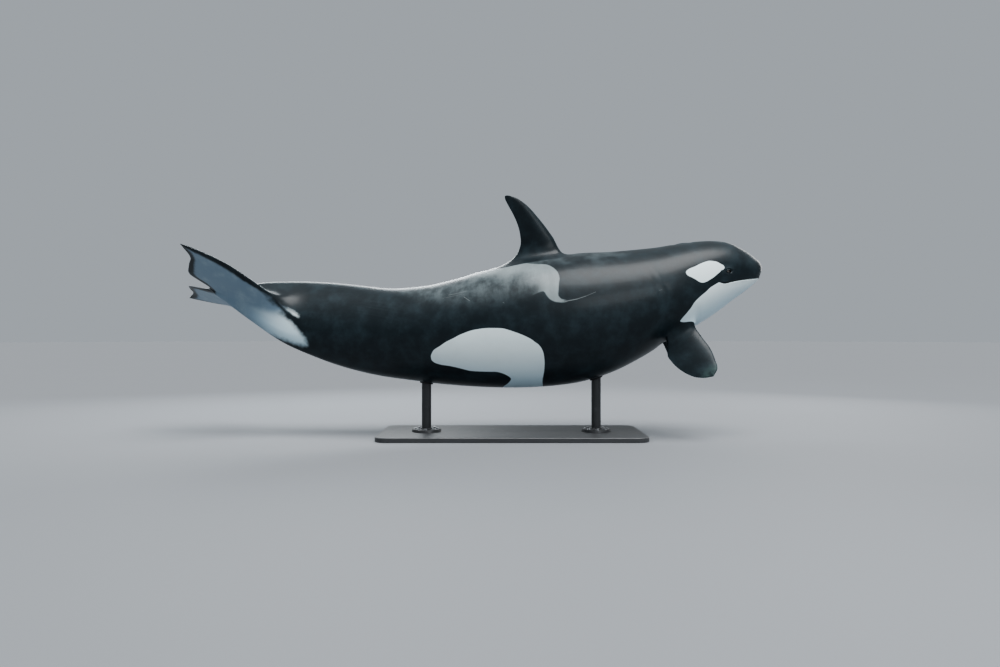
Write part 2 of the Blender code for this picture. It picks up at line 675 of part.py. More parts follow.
# Patches of colour, as rows of distance, lower angle and upper angle on the right side.
EYE_PATCH = (
    (0.379, 101.4, 103.4),
    (0.392, 99.8, 107.0),
    (0.410, 98.3, 110.2),
    (0.440, 95.7, 113.4),
    (0.490, 91.9, 115.6),
    (0.550, 90.0, 114.7),
    (0.600, 91.2, 113.2),
    (0.650, 98.2, 112.2),
    (0.680, 102.6, 111.2),
    (0.699, 106.2, 109.2),
)
BELLY_BAND = (
    (0.852, -50.0, 50.0),
    (0.90, -40.0, 40.0),
    (0.95, -27.0, 27.0),
    (1.02, -15.0, 15.0),
    (1.12, -10.0, 10.0),
    (1.50, -9.0, 9.0),
    (2.40, -9.5, 9.5),
    (2.80, -8.5, 8.5),
    (3.00, -7.0, 7.0),
    (3.15, -4.0, 4.0),
)
FLANK_PATCH = (
    (2.004, 12.0, 66.0),
    (2.012, 6.0, 72.0),
    (2.03, 6.0, 77.0),
    (2.10, 6.0, 83.9),
    (2.18, 6.0, 88.8),
    (2.26, 6.0, 92.7),
    (2.30, 38.0, 94.3),
    (2.36, 49.8, 95.4),
    (2.45, 51.4, 95.8),
    (2.58, 51.2, 93.8),
    (2.67, 52.4, 90.0),
    (2.756, 54.4, 84.6),
    (2.842, 55.6, 77.9),
    (2.885, 56.6, 73.4),
    (2.922, 61.0, 66.0),
)
SADDLE = (
    (2.10, 130.5, 229.5),
    (2.30, 134.0, 226.0),
    (2.50, 139.0, 221.0),
    (2.75, 147.0, 213.0),
    (2.95, 156.0, 204.0),
)
SADDLE_HOOK = (
    (1.785, 127.0, 139.0),
    (1.80, 120.0, 142.5),
    (1.83, 114.5, 149.5),
    (1.87, 113.5, 154.5),
    (1.92, 117.0, 158.0),
    (1.97, 124.0, 160.2),
    (2.03, 129.0, 162.0),
    (2.11, 130.5, 165.0),
)


def patch_rows(table, steps):
    """Distances along a patch, closer together towards its ends."""
    share = (1 - np.cos(np.pi * np.arange(steps + 1) / steps)) / 2
    return table[0][0] + (table[-1][0] - table[0][0]) * share


def patch_block(table, side, steps, across, grow, **depths):
    """Inlay block of a patch on one side: 1 right, -1 left."""

    def edges(s):
        """Its two angles at one distance."""
        low, high = curve(table, s)[0]
        return (low, high) if side > 0 else (360 - high, 360 - low)

    return solid_strip(edges, patch_rows(table, steps), across, grow, **depths)


def fin_block(grow):
    """Region of the dorsal fin: all above a plane along the back."""
    centre, right, dorsal = (q[0] for q in frame(FIN_AT))
    back = unit((frame(FIN_AT + 0.05)[0] - frame(FIN_AT - 0.05)[0])[0])
    up = unit(np.cross(right, back))
    up = up if up @ dorsal > 0 else -up
    base, along, side = centre + up * (FIN_ROOT - grow), back * 0.8, right * 0.5
    ring = np.array((base + along + side, base + along - side, base - along - side, base - along + side))
    return solid_rings([ring, ring + up * 0.8])


# Height of the dorsal fin's root plane above the axis.
FIN_ROOT = 0.622
# Where a flipper's root is centred on the flank, and how far out of the flank its own piece begins.
ROOT_AT, ROOT_ANGLE, ROOT_OUT = 0.84, 38.0, 0.060
ROOT_LONG, ROOT_TURN = 0.148, 14.5


def flipper_blocks(side, grow):
    """Regions of a flipper: all that stands clear of the flank, and the plug at its root."""
    angle = ROOT_ANGLE if side > 0 else 360 - ROOT_ANGLE
    root, normal = body(ROOT_AT, angle), outward(ROOT_AT, angle)
    across = unit(np.cross(normal, (1, 0, 0))) * 0.7
    along = unit(np.cross(normal, across)) * 0.7
    base = root + normal * (ROOT_OUT - grow)
    ring = np.array((base + across + along, base + across - along, base - across - along, base - across + along))
    rows = ROOT_AT + ROOT_LONG * np.linspace(-1, 1, 5)
    turn = (angle - ROOT_TURN, angle + ROOT_TURN)
    return solid_rings([ring, ring + normal * 0.74]), solid_strip(lambda s: turn, rows, 4, grow, 0.09)


# Cut between a fluke and the tail stock: distance behind the notch and distance out from the axis.
FLUKE_CUT = ((-1.05, 0.225), (-0.26, 0.0), (0.50, 0.0))


def fluke_block(side, grow):
    """Region of a fluke: outside a wedge that narrows to the middle line in front of the notch."""
    rings = []
    for behind, out in FLUKE_CUT:
        centre, right, dorsal = (q[0] for q in frame(min(NOTCH + behind, NOTCH)))
        if behind > 0:
            centre = centre + unit((frame(NOTCH)[0] - frame(NOTCH - 0.03)[0])[0]) * behind
        near = centre + right * side * (out + GAP / 2 - grow)
        away = centre + right * side * 1.2
        tall = dorsal * 0.8
        rings.append([near + tall, near - tall, away - tall, away + tall])
    return solid_rings(rings)


def rod_top(x):
    """Height of a rod's top, sunk into the belly above it."""
    s = np.linspace(0.6, 3.5, 400)
    low = body(s, 0.0)
    return float(np.interp(-x, -low[:, 0], low[:, 2])) + ROD_SINK


# Stand: base plate and its middle, flanges, rods with the place of each.
BASE_LONG, BASE_WIDE, BASE_THICK, BASE_X = 2.30, 0.95, 0.040, 0.10
BASE_CORNER, BASE_EDGE = 0.10, 0.004
FLANGE_RADIUS, FLANGE_THICK = 0.13, 0.022
ROD_RADIUS, ROD_SINK = 0.042, 0.075
RODS = (("front", 0.85), ("rear", -0.65))

# Finishes: colour, roughness, metallic.
FINISHES = {
    "skin_black": ((0.012, 0.014, 0.017), 0.28, 0.0),
    "skin_white": ((0.80, 0.80, 0.77), 0.35, 0.0),
    "skin_grey": ((0.16, 0.17, 0.18), 0.32, 0.0),
    "eye_dark": ((0.02, 0.012, 0.01), 0.08, 0.0),
    "stand_steel": ((0.10, 0.10, 0.11), 0.45, 0.6),
}


def dress(node, finish):
    """Gives a node its own material in one of the finishes, and smooth shading."""
    colour, rough, metal = FINISHES[finish]
    made = bpy.data.materials.new(f"{node.name}_{finish}")
    made.use_nodes = True
    made.diffuse_color = (*colour, 1)
    shader = made.node_tree.nodes["Principled BSDF"]
    shader.inputs["Base Color"].default_value = (*colour, 1)
    shader.inputs["Roughness"].default_value = rough
    shader.inputs["Metallic"].default_value = metal
    node.data.materials.clear()
    node.data.materials.append(made)
    node.data.shade_smooth()
    node.data.set_sharp_from_angle(angle=math.radians(40))


def add_object(name, mesh, parent=None):
    """Links a new object for a mesh, under a parent."""
    made = bpy.data.objects.new(name, mesh)
    bpy.context.scene.collection.objects.link(made)
    made.parent = parent
    return made


def settle(node, parent):
    """Moves a node's origin to the middle of its mesh and hangs it on its parent, without moving the mesh."""
    corners = np.array([v.co for v in node.data.vertices])
    middle = (corners.min(0) + corners.max(0)) / 2
    node.data.transform(Matrix.Translation([-float(q) for q in middle]))
    node.parent = parent
    node.location = [float(q) for q in middle - np.array(parent.location)]


def mesh_from(name, shape):
    """Closed mesh of triangles from points and faces, its faces pointing out."""
    points, faces = shape
    mesh = bpy.data.meshes.new(name)
    mesh.from_pydata([tuple(map(float, p)) for p in points], [], [tuple(int(i) for i in f) for f in faces])
    bm = bmesh.new()
    bm.from_mesh(mesh)
    bmesh.ops.delete(bm, geom=[v for v in bm.verts if not v.link_faces], context="VERTS")
    bmesh.ops.triangulate(bm, faces=bm.faces, quad_method="FIXED")
    bmesh.ops.recalc_face_normals(bm, faces=bm.faces)
    if bm.calc_volume(signed=True) < 0:
        bmesh.ops.reverse_faces(bm, faces=bm.faces)
    bm.to_mesh(mesh)
    bm.free()
    return mesh


def helper(name, shape):
    """Cutter or guide, left out of a render."""
    made = add_object("cut_" + name, mesh_from("cut_" + name, shape))
    made.hide_render = True
    made.display_type = "WIRE"
    return made


def combined(obj, steps):
    """Applies Boolean steps, pairs of operation and other object, to an object's mesh."""
    for operation, other in steps:
        step = obj.modifiers.new(other.name, "BOOLEAN")
        step.operation, step.object = operation, other
    graph = bpy.context.evaluated_depsgraph_get()
    mesh = bpy.data.meshes.new_from_object(obj.evaluated_get(graph))
    obj.modifiers.clear()
    obj.data = mesh


def merged(name, shapes):
    """One helper joined from several shapes that overlap."""
    parts = [helper(f"{name}_{k}", shape) for k, shape in enumerate(shapes)]
    combined(parts[0], [("UNION", other) for other in parts[1:]])
    for other in parts[1:]:
        bpy.data.objects.remove(other)
    return parts[0]


def keep_largest(mesh):
    """Leaves only the closed surface with the most volume."""
    bm = bmesh.new()
    bm.from_mesh(mesh)
    left, groups = set(bm.faces), []
    while left:
        stack, group = [left.pop()], []
        while stack:
            face = stack.pop()
            group.append(face)
            near = {other for edge in face.edges for other in edge.link_faces} & left
            left -= near
            stack += near
        volume = sum(f.calc_center_median().dot(f.normal) * f.calc_area() for f in group) / 3
        groups.append((volume, group))
    groups.sort(key=lambda pair: -pair[0])
    for _, group in groups[1:]:
        bmesh.ops.delete(bm, geom=group, context="FACES")
    bmesh.ops.delete(bm, geom=[v for v in bm.verts if not v.link_faces], context="VERTS")
    bmesh.ops.dissolve_degenerate(bm, edges=bm.edges, dist=2e-5)
    bmesh.ops.triangulate(bm, faces=bm.faces)
    bm.to_mesh(mesh)
    bm.free()


def carve(name, whole, keep, cutters, finish, parent):
    """One node of the animal: the whole within a kept region, less the cutters."""
    node = add_object(name, whole.data.copy())
    combined(node, [("INTERSECT", keep)] + [("DIFFERENCE", other) for other in cutters])
    node.data.name = name
    keep_largest(node.data)
    settle(node, parent)
    dress(node, finish)


def add_eye(name, side, parent):
    """Eyeball with a slightly raised front, turned to look out of its lids."""
    bm = bmesh.new()
    bmesh.ops.create_uvsphere(bm, u_segments=16, v_segments=9, radius=BALL)
    for v in bm.verts:
        v.co *= 1 + 0.008 * max(0.0, v.co.z / BALL) ** 6
    mesh = bpy.data.meshes.new(name)
    bm.to_mesh(mesh)
    bm.free()
    at, back, rise, out = eye_axes(side)
    eye = add_object(name, mesh, parent)
    axes = np.array((back, np.cross(out, back), out)).T
    eye.rotation_euler = Matrix([[float(q) for q in row] for row in axes]).to_euler()
    eye.location = [float(q) for q in at - out * EYE_DEPTH - np.array(parent.location)]
    dress(eye, "eye_dark")


def add_turned(name, radii, low, high, x, parent, sides):
    """Upright round piece of the stand between two heights."""
    bm = bmesh.new()
    bmesh.ops.create_cone(
        bm, cap_ends=True, segments=sides, radius1=radii[0], radius2=radii[1], depth=high - low
    )
    mesh = bpy.data.meshes.new(name)
    bm.to_mesh(mesh)
    bm.free()
    made = add_object(name, mesh, parent)
    made.location = (x, 0, (low + high) / 2)
    dress(made, "stand_steel")


def add_base(parent):
    """Flat plate with rounded corners and softened rims."""
    bm = bmesh.new()
    bmesh.ops.create_cube(bm, size=1)
    bmesh.ops.scale(bm, vec=(BASE_LONG, BASE_WIDE, BASE_THICK), verts=bm.verts)
    upright = [e for e in bm.edges if abs(e.verts[0].co.z - e.verts[1].co.z) > BASE_THICK / 2]
    bmesh.ops.bevel(bm, geom=upright, offset=BASE_CORNER, segments=6, affect="EDGES", profile=0.5)
    mesh = bpy.data.meshes.new("stand_base")
    bm.to_mesh(mesh)
    bm.free()
    base = add_object("stand_base", mesh, parent)
    base.location = (BASE_X, 0, BASE_THICK / 2)
    rim = base.modifiers.new("rim", "BEVEL")
    rim.width, rim.segments, rim.limit_method, rim.angle_limit = BASE_EDGE, 1, "ANGLE", math.radians(60)
    dress(base, "stand_steel")


def inlay(name, blocks):
    """Pair of helpers: the inlay itself, and the slightly larger room that its surroundings leave."""
    return tuple(merged(f"{name}_{word}", blocks(grow)) for word, grow in (("piece", 0.0), ("room", GAP)))


def build_animal(parent):
    """Every node of the animal."""
    whole = helper("whole", build_skin())
    half = GAP / 2
    jaw = helper("jaw_piece", jaw_block(-half)), helper("jaw_room", jaw_block(half))
    band = inlay("band", lambda g: [patch_block(BELLY_BAND, 1, 16, 4, g)])
    fin = inlay("fin", lambda g: [fin_block(g)])
    pairs = {}
    for side, word in ((1, "right"), (-1, "left")):
        pairs["eye_patch_" + word] = inlay("eye_patch_" + word, lambda g: [patch_block(EYE_PATCH, side, 12, 3, g)])
        pairs["flank_patch_" + word] = inlay("flank_" + word, lambda g: [patch_block(FLANK_PATCH, side, 24, 6, g)])
        pairs["flipper_" + word] = inlay("flipper_" + word, lambda g: flipper_blocks(side, g))
        pairs["fluke_" + word] = inlay("fluke_" + word, lambda g: [fluke_block(side, g)])

    def saddle_blocks(grow):
        """The broad saddle behind the fin and the hook in front of it on each side."""
        hooks = [patch_block(SADDLE_HOOK, side, 9, 3, grow, outer=0.031, inner=0.027) for side in (1, -1)]
        return [patch_block(SADDLE, 1, 7, 8, grow)] + hooks

    saddle = inlay("saddle", saddle_blocks)
    holes = []
    for word, x in RODS:
        bore = [(ROD_RADIUS + GAP) * np.array((math.cos(a), math.sin(a), 0)) for a in np.arange(24) * math.pi / 12]
        ends = ((x, 0, 0.2), (x, 0, rod_top(x) + GAP))
        holes.append(helper("bore_" + word, solid_rings([np.array(bore) + end for end in ends])))

    flippers = [pairs["flipper_right"][1], pairs["flipper_left"][1]]
    eye_patches = [pairs["eye_patch_right"][1], pairs["eye_patch_left"][1]]
    flanks = [pairs["flank_patch_right"][1], pairs["flank_patch_left"][1]]
    flukes = [pairs["fluke_right"][1], pairs["fluke_left"][1]]
    cuts = (None, (0.80, 0.665), (1.45, 1.45), (2.62, 2.62), (3.45, 3.45), None)
    pieces = (
        ("head", [jaw[1]] + eye_patches + flippers),
        ("chest", [jaw[1], band[1], holes[0]] + flippers),
        ("torso", [band[1], saddle[1], fin[1]] + flanks + holes),
        ("loin", [band[1], saddle[1], holes[1]] + flanks),
        ("tail_stock", flukes),
    )
    for k, (name, room) in enumerate(pieces):
        region = helper("region_" + name, piece_region(cuts[k], cuts[k + 1], half))
        carve(name, whole, region, room, "skin_black", parent)
    carve("lower_jaw", whole, jaw[0], flippers, "skin_white", parent)
    carve("belly_band", whole, band[0], flanks + [jaw[1]] + flippers + holes, "skin_white", parent)
    carve("saddle_patch", whole, saddle[0], [fin[1]], "skin_grey", parent)
    carve("dorsal_fin", whole, fin[0], [], "skin_black", parent)
    for name, pair in pairs.items():
        finish = "skin_white" if "patch" in name else "skin_black"
        carve(name, whole, pair[0], holes if "flank" in name else [], finish, parent)
    add_eye("eye_right", 1, parent)
    add_eye("eye_left", -1, parent)


def build_stand(parent):
    """Base plate, flanges and rods."""
    add_base(parent)
    top = BASE_THICK + FLANGE_THICK
    for word, x in RODS:
        radii = (FLANGE_RADIUS, FLANGE_RADIUS * 0.96)
        add_turned("stand_flange_" + word, radii, BASE_THICK + GAP, top, x, parent, 32)
        radii = (ROD_RADIUS, ROD_RADIUS)
        add_turned("stand_rod_" + word, radii, top + GAP, rod_top(x), x, parent, 24)


def main():
    """Clears the scene and builds the orca on its stand."""
    for obj in list(bpy.data.objects):
        bpy.data.objects.remove(obj)
    orca, stand = add_object("orca", None), add_object("stand", None)
    orca.location = (0, 0, LIFT)
    build_animal(orca)
    build_stand(stand)


if __name__ == "__main__":
    main()
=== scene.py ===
"""Looks of the orca: one skin with its markings, the eyes, the stand's finish, the floor, light and camera.

The skin follows the same axis, sections and fins as the solids, on a finer grid, so it lies where they lie.
Metres, +Z up, the head towards +X, the right flank towards -Y, the floor at Z = 0. A place on the body is a
distance behind the front of the mouth and an angle: 0 the belly, 90 the right side, 180 the back.
"""

from __future__ import annotations

import logging
import math
from collections.abc import Callable
from dataclasses import dataclass, field
from enum import Enum
from typing import Any

import bmesh
import bpy
import numpy as np
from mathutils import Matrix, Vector
from mathutils.bvhtree import BVHTree


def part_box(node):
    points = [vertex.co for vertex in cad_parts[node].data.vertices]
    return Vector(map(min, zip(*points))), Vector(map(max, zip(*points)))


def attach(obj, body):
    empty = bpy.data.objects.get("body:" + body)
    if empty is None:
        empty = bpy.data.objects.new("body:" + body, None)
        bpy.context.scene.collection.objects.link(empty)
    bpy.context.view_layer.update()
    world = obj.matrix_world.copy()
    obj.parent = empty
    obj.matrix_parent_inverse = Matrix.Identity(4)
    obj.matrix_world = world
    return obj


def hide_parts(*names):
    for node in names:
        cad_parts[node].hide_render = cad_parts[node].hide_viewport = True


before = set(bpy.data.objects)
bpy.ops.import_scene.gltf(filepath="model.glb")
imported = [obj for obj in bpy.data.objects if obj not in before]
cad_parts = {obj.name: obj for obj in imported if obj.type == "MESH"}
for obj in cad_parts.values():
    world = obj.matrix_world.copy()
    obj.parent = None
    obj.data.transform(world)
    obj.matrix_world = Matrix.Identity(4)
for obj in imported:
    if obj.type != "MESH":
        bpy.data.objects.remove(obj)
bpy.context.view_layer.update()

log = logging.getLogger("orca")
Array = np.ndarray
Triple = tuple[float, float, float]
Table = tuple[tuple[float, ...], ...]
Section = tuple[Array, Array, Array, float]


def unit(v: Array) -> Array:
    """Return the vector, or each row of vectors, at length one."""
    v = np.asarray(v, float)
    return v / np.maximum(np.linalg.norm(v, axis=-1, keepdims=True), 1e-12)


def smooth(low: float, high: float, value: Array) -> Array:
    """Return an eased step from 0 at low to 1 at high."""
    u = np.clip((np.asarray(value, float) - low) / (high - low), 0, 1)
    return u * u * (3 - 2 * u)


def bell(value: Array, width: float) -> Array:
    """Return a bell curve of height one round zero."""
    return np.exp(-((np.asarray(value, float) / width) ** 2))


def curve(table: Table, where: Array) -> Array:
    """Read a smooth curve without overshoot through a table.

    Args:
        table: Rows of a position followed by values.
        where: Positions to read, clipped to the table.

    Returns:
        One row of values for each position.
    """
    rows = np.array(table, float)
    x, y = rows[:, 0], rows[:, 1:]
    h = np.diff(x)[:, None]
    d = np.diff(y, axis=0) / h
    m = np.empty_like(y)
    m[0], m[-1] = d[0], d[-1]
    m[1:-1] = (d[:-1] * h[1:] + d[1:] * h[:-1]) / (h[1:] + h[:-1])
    most = 3 * np.minimum(np.abs(d[:-1]), np.abs(d[1:]))
    m[1:-1] = np.where(d[:-1] * d[1:] <= 0, 0, np.clip(m[1:-1], -most, most))
    where = np.atleast_1d(np.asarray(where, float))
    k = np.clip(np.searchsorted(x, where) - 1, 0, len(x) - 2)
    u = np.clip((where - x[k]) / (x[k + 1] - x[k]), 0, 1)[:, None]
    a, b = u * u * (3 - 2 * u), u * (1 - u)
    return (1 - a) * y[k] + a * y[k + 1] + b * h[k] * ((1 - u) * m[k] - u * m[k + 1])


def spread(breaks: tuple[tuple[float, int], ...]) -> Array:
    """Spread values evenly between breaks.

    Args:
        breaks: Values, each with the steps to the next.

    Returns:
        The values.
    """
    values: list[float] = []
    for (a, n), (b, _) in zip(breaks[:-1], breaks[1:]):
        values += list(a + (b - a) * np.arange(n) / n)
    return np.array(values + [breaks[-1][0]])


def from_belly(t: Array) -> Array:
    """Return angles measured from the belly up to the back, the same on both sides."""
    return np.where(t > 180, 360 - t, t)


@dataclass(frozen=True)
class BodyPlan:
    """The body without its fins: rings of varying section round a bent and rolled axis."""

    lift: float = 0.905
    notch: float = 4.97
    # Distance, x, z, lean of the ring's top towards the head, roll that lifts the right side.
    axis: Table = (
        (0.00, 2.274, 0.482, 26, 0), (0.10, 2.175, 0.494, 19, 0), (0.20, 2.075, 0.500, 11, 0),
        (0.30, 1.976, 0.495, 3, 0), (0.40, 1.878, 0.478, -4, 0), (0.50, 1.781, 0.453, -10, 0),
        (0.65, 1.638, 0.410, -15, -1), (0.80, 1.495, 0.363, -19, -2), (1.00, 1.306, 0.298, -18.5, -4),
        (1.20, 1.116, 0.236, -16.5, -5.5), (1.50, 0.825, 0.168, -12, -7), (1.80, 0.529, 0.120, -8.5, -7),
        (2.10, 0.231, 0.081, -7.2, -7), (2.40, -0.066, 0.045, -6.6, -6), (2.70, -0.364, 0.014, -4.8, -3),
        (3.00, -0.663, -0.005, -1.5, 1), (3.30, -0.962, -0.001, 3.5, 7), (3.60, -1.259, 0.034, 9.5, 13),
        (3.90, -1.552, 0.097, 12.5, 19), (4.20, -1.844, 0.170, 15.5, 23), (4.50, -2.131, 0.258, 18.5, 25),
        (4.80, -2.412, 0.361, 22.0, 25), (4.97, -2.560, 0.400, 22.5, 25),
    )
    # Distance, height above the axis, depth below, half width, roundness above, roundness below.
    section: Table = (
        (0.000, 0.000, 0.000, 0.000, 2.00, 2.00), (0.006, 0.080, 0.026, 0.060, 2.00, 2.00),
        (0.020, 0.122, 0.055, 0.104, 2.00, 2.00), (0.050, 0.156, 0.098, 0.146, 2.05, 2.00),
        (0.100, 0.188, 0.153, 0.184, 2.10, 2.00), (0.200, 0.250, 0.221, 0.236, 2.15, 2.00),
        (0.300, 0.308, 0.268, 0.280, 2.20, 2.00), (0.400, 0.338, 0.297, 0.318, 2.20, 2.00),
        (0.500, 0.361, 0.319, 0.352, 2.20, 2.05), (0.650, 0.388, 0.349, 0.396, 2.20, 2.10),
        (0.800, 0.416, 0.372, 0.434, 2.15, 2.15), (1.000, 0.462, 0.405, 0.472, 2.10, 2.20),
        (1.200, 0.505, 0.458, 0.500, 2.10, 2.20), (1.500, 0.553, 0.535, 0.528, 2.05, 2.20),
        (1.800, 0.573, 0.568, 0.538, 2.05, 2.15), (2.100, 0.565, 0.557, 0.530, 2.05, 2.10),
        (2.400, 0.520, 0.524, 0.502, 2.05, 2.10), (2.700, 0.465, 0.477, 0.458, 2.00, 2.05),
        (3.000, 0.424, 0.425, 0.402, 1.95, 2.00), (3.300, 0.402, 0.385, 0.340, 1.90, 1.95),
        (3.600, 0.400, 0.354, 0.270, 1.85, 1.90), (3.900, 0.380, 0.322, 0.200, 1.85, 1.85),
        (4.200, 0.330, 0.268, 0.140, 1.80, 1.80), (4.500, 0.228, 0.170, 0.095, 1.80, 1.80),
        (4.750, 0.095, 0.090, 0.062, 1.90, 1.90), (4.970, 0.018, 0.018, 0.020, 2.00, 2.00),
    )
    # Sideways bend of the tail: distance, offset towards +Y, turn of the rear towards -Y in degrees.
    bend: Table = (
        (0.0, 0.0, 0.0), (3.2, 0.0, 0.0), (4.2, -0.012, 4.0), (4.97, -0.04, 8.0), (5.0, -0.04, 8.0),
    )
    # The mouth line, the column of the grid that follows it, and where it ends.
    mouth: Table = (
        (0.0, 88.0), (0.03, 84.5), (0.062, 82.3), (0.113, 80.2), (0.20, 78.8), (0.30, 78.4), (0.36, 78.6),
        (0.41, 81.0), (0.60, 81.0),
    )
    mouth_column: float = 81.0
    # Ring whose directions place the marking of the tail's underside, and the reach that gives them.
    tail_ring: float = 4.5
    tail_reach: float = 0.05

    def ring(self, s: Array) -> tuple[Array, Array, Array]:
        """Place rings along the axis.

        Args:
            s: Distances along the body.

        Returns:
            Centre, right vector and dorsal vector of each.
        """
        s = np.atleast_1d(np.asarray(s, float))
        x, z, lean, roll = curve(self.axis, s).T
        side, turn = curve(self.bend, s).T
        lean, roll, turn = (np.radians(q)[:, None] for q in (lean, roll, turn))
        centre = np.stack([x, side, z + self.lift], -1)
        up = np.hstack([np.sin(lean) * np.cos(turn), np.sin(lean) * np.sin(turn), np.cos(lean)])
        out = np.hstack([np.sin(turn), -np.cos(turn), 0 * turn])
        return centre, out * np.cos(roll) + up * np.sin(roll), up * np.cos(roll) - out * np.sin(roll)

    def one_ring(self, s: float) -> tuple[Array, Array, Array]:
        """Return centre, right vector and dorsal vector of a single ring."""
        centre, right, dorsal = self.ring(s)
        return centre[0], right[0], dorsal[0]

    def point(self, s: Array, t: Array) -> Array:
        """Find points of the skin.

        Args:
            s: Distances along the body.
            t: Angles from the belly, in degrees.

        Returns:
            The points.
        """
        s, t = np.broadcast_arrays(np.asarray(s, float), np.asarray(t, float))
        shape = s.shape
        s, t = s.ravel(), np.radians(t.ravel())
        centre, right, dorsal = self.ring(s)
        table = tuple((math.sqrt(row[0]),) + row[1:] for row in self.section)
        up, down, wide, round_up, round_down = curve(table, np.sqrt(np.maximum(s, 0))).T
        rise, reach = -np.cos(t), np.sin(t)
        n = np.where(rise > 0, round_up, round_down)
        tall = np.maximum(np.where(rise > 0, up, down), 0.001)
        fit = (np.abs(reach) ** n + np.abs(rise) ** n) ** (-1 / n)
        points = centre + (wide * reach * fit)[:, None] * right + (tall * rise * fit)[:, None] * dorsal
        return points.reshape(shape + (3,))

    def outward(self, s: Array, t: Array) -> Array:
        """Find the ways out of the skin.

        Args:
            s: Distances along the body.
            t: Angles from the belly, in degrees.

        Returns:
            Unit vectors.
        """
        ds = self.point(np.asarray(s) + 0.004, t) - self.point(np.asarray(s) - 0.004, t)
        dt = self.point(s, np.asarray(t) + 1) - self.point(s, np.asarray(t) - 1)
        return unit(np.cross(dt, ds))

    def warped(self, s: Array, t: Array) -> Array:
        """Draw the grid's mouth column onto the mouth line.

        Args:
            s: Distances along the body.
            t: Angles of the columns.

        Returns:
            The angles after it.
        """
        s, t = np.broadcast_arrays(np.asarray(s, float), np.asarray(t, float))
        line = curve(self.mouth, s.ravel())[:, 0].reshape(s.shape)
        right = from_belly(t)
        below, above = right / self.mouth_column, (180 - right) / (180 - self.mouth_column)
        ramp = np.where(right < self.mouth_column, below, above)
        return t + np.where(t > 180, -1, 1) * (line - self.mouth_column) * ramp

    def tail_place(self, points: Array) -> tuple[Array, Array]:
        """Place points in one frame of the tail.

        Args:
            points: Points near the tail.

        Returns:
            Distance and angle from the belly of each.
        """
        centre, right, dorsal = self.one_ring(self.tail_ring)
        ahead = self.one_ring(self.tail_ring - self.tail_reach)[0]
        behind = self.one_ring(self.tail_ring + self.tail_reach)[0]
        off = points - centre
        around = np.degrees(np.arctan2(np.abs(off @ right), -(off @ dorsal)))
        return self.tail_ring + off @ unit(behind - ahead), around


PLAN = BodyPlan()


class Side(Enum):
    """A side of the animal, valued +1 for its right and -1 for its left."""

    RIGHT = 1
    LEFT = -1

    @property
    def word(self) -> str:
        """Return the side's name in lower case."""
        return self.name.lower()


@dataclass(frozen=True)
class Marking:
    """A patch of another colour on the body, the same on both sides.

    Attributes:
        outline: Corner points as distance and angle from the belly, in order round the patch.
        blur: Half width of its edge in metres.
        girth: Radius that turns its angles into lengths.
        rounded: Whether the outline runs in a smooth curve through the points.
    """

    outline: Table
    blur: float = 0.002
    girth: float = 0.45
    rounded: bool = True

    def flat(self, s: Array, around: Array) -> Array:
        """Return places as lengths along and round the body."""
        return np.stack([s, np.radians(around) * self.girth], -1)

    def corners(self) -> Array:
        """Draw the outline.

        Returns:
            A closed run of flat points.
        """
        ends = np.array(self.outline, float)
        ends = self.flat(ends[:, 0], ends[:, 1])
        if not self.rounded:
            return ends
        before, after, beyond = (np.roll(ends, k, 0) for k in (1, -1, -2))
        run = []
        for u in np.arange(6) / 6:
            bend = (2 * before - 5 * ends + 4 * after - beyond) * u * u
            twist = (3 * ends - before - 3 * after + beyond) * u**3
            run.append(0.5 * (2 * ends + (after - before) * u + bend + twist))
        return np.stack(run, 1).reshape(-1, 2)

    def inside(self, s: Array, around: Array) -> Array:
        """Tell how far places lie inside the patch.

        Args:
            s: Distances along the body.
            around: Angles from the belly, in degrees.

        Returns:
            Depth over the blur, from -1 to 1 across the edge.
        """
        at = self.flat(s.ravel(), around.ravel())
        a = self.corners()
        b = np.roll(a, -1, 0)
        least = np.full(len(at), 1e9)
        odd = np.zeros(len(at), bool)
        for p, q in zip(a, b):
            along = q - p
            u = np.clip(((at - p) @ along) / max(along @ along, 1e-12), 0, 1)
            least = np.minimum(least, np.linalg.norm(at - p - u[:, None] * along, axis=1))
            spans = (p[1] > at[:, 1]) != (q[1] > at[:, 1])
            rise = q[1] - p[1] if q[1] != p[1] else 1e-12
            odd ^= spans & (at[:, 0] < p[0] + (at[:, 1] - p[1]) / rise * along[0])
        return (np.where(odd, least, -least) / self.blur).reshape(s.shape)


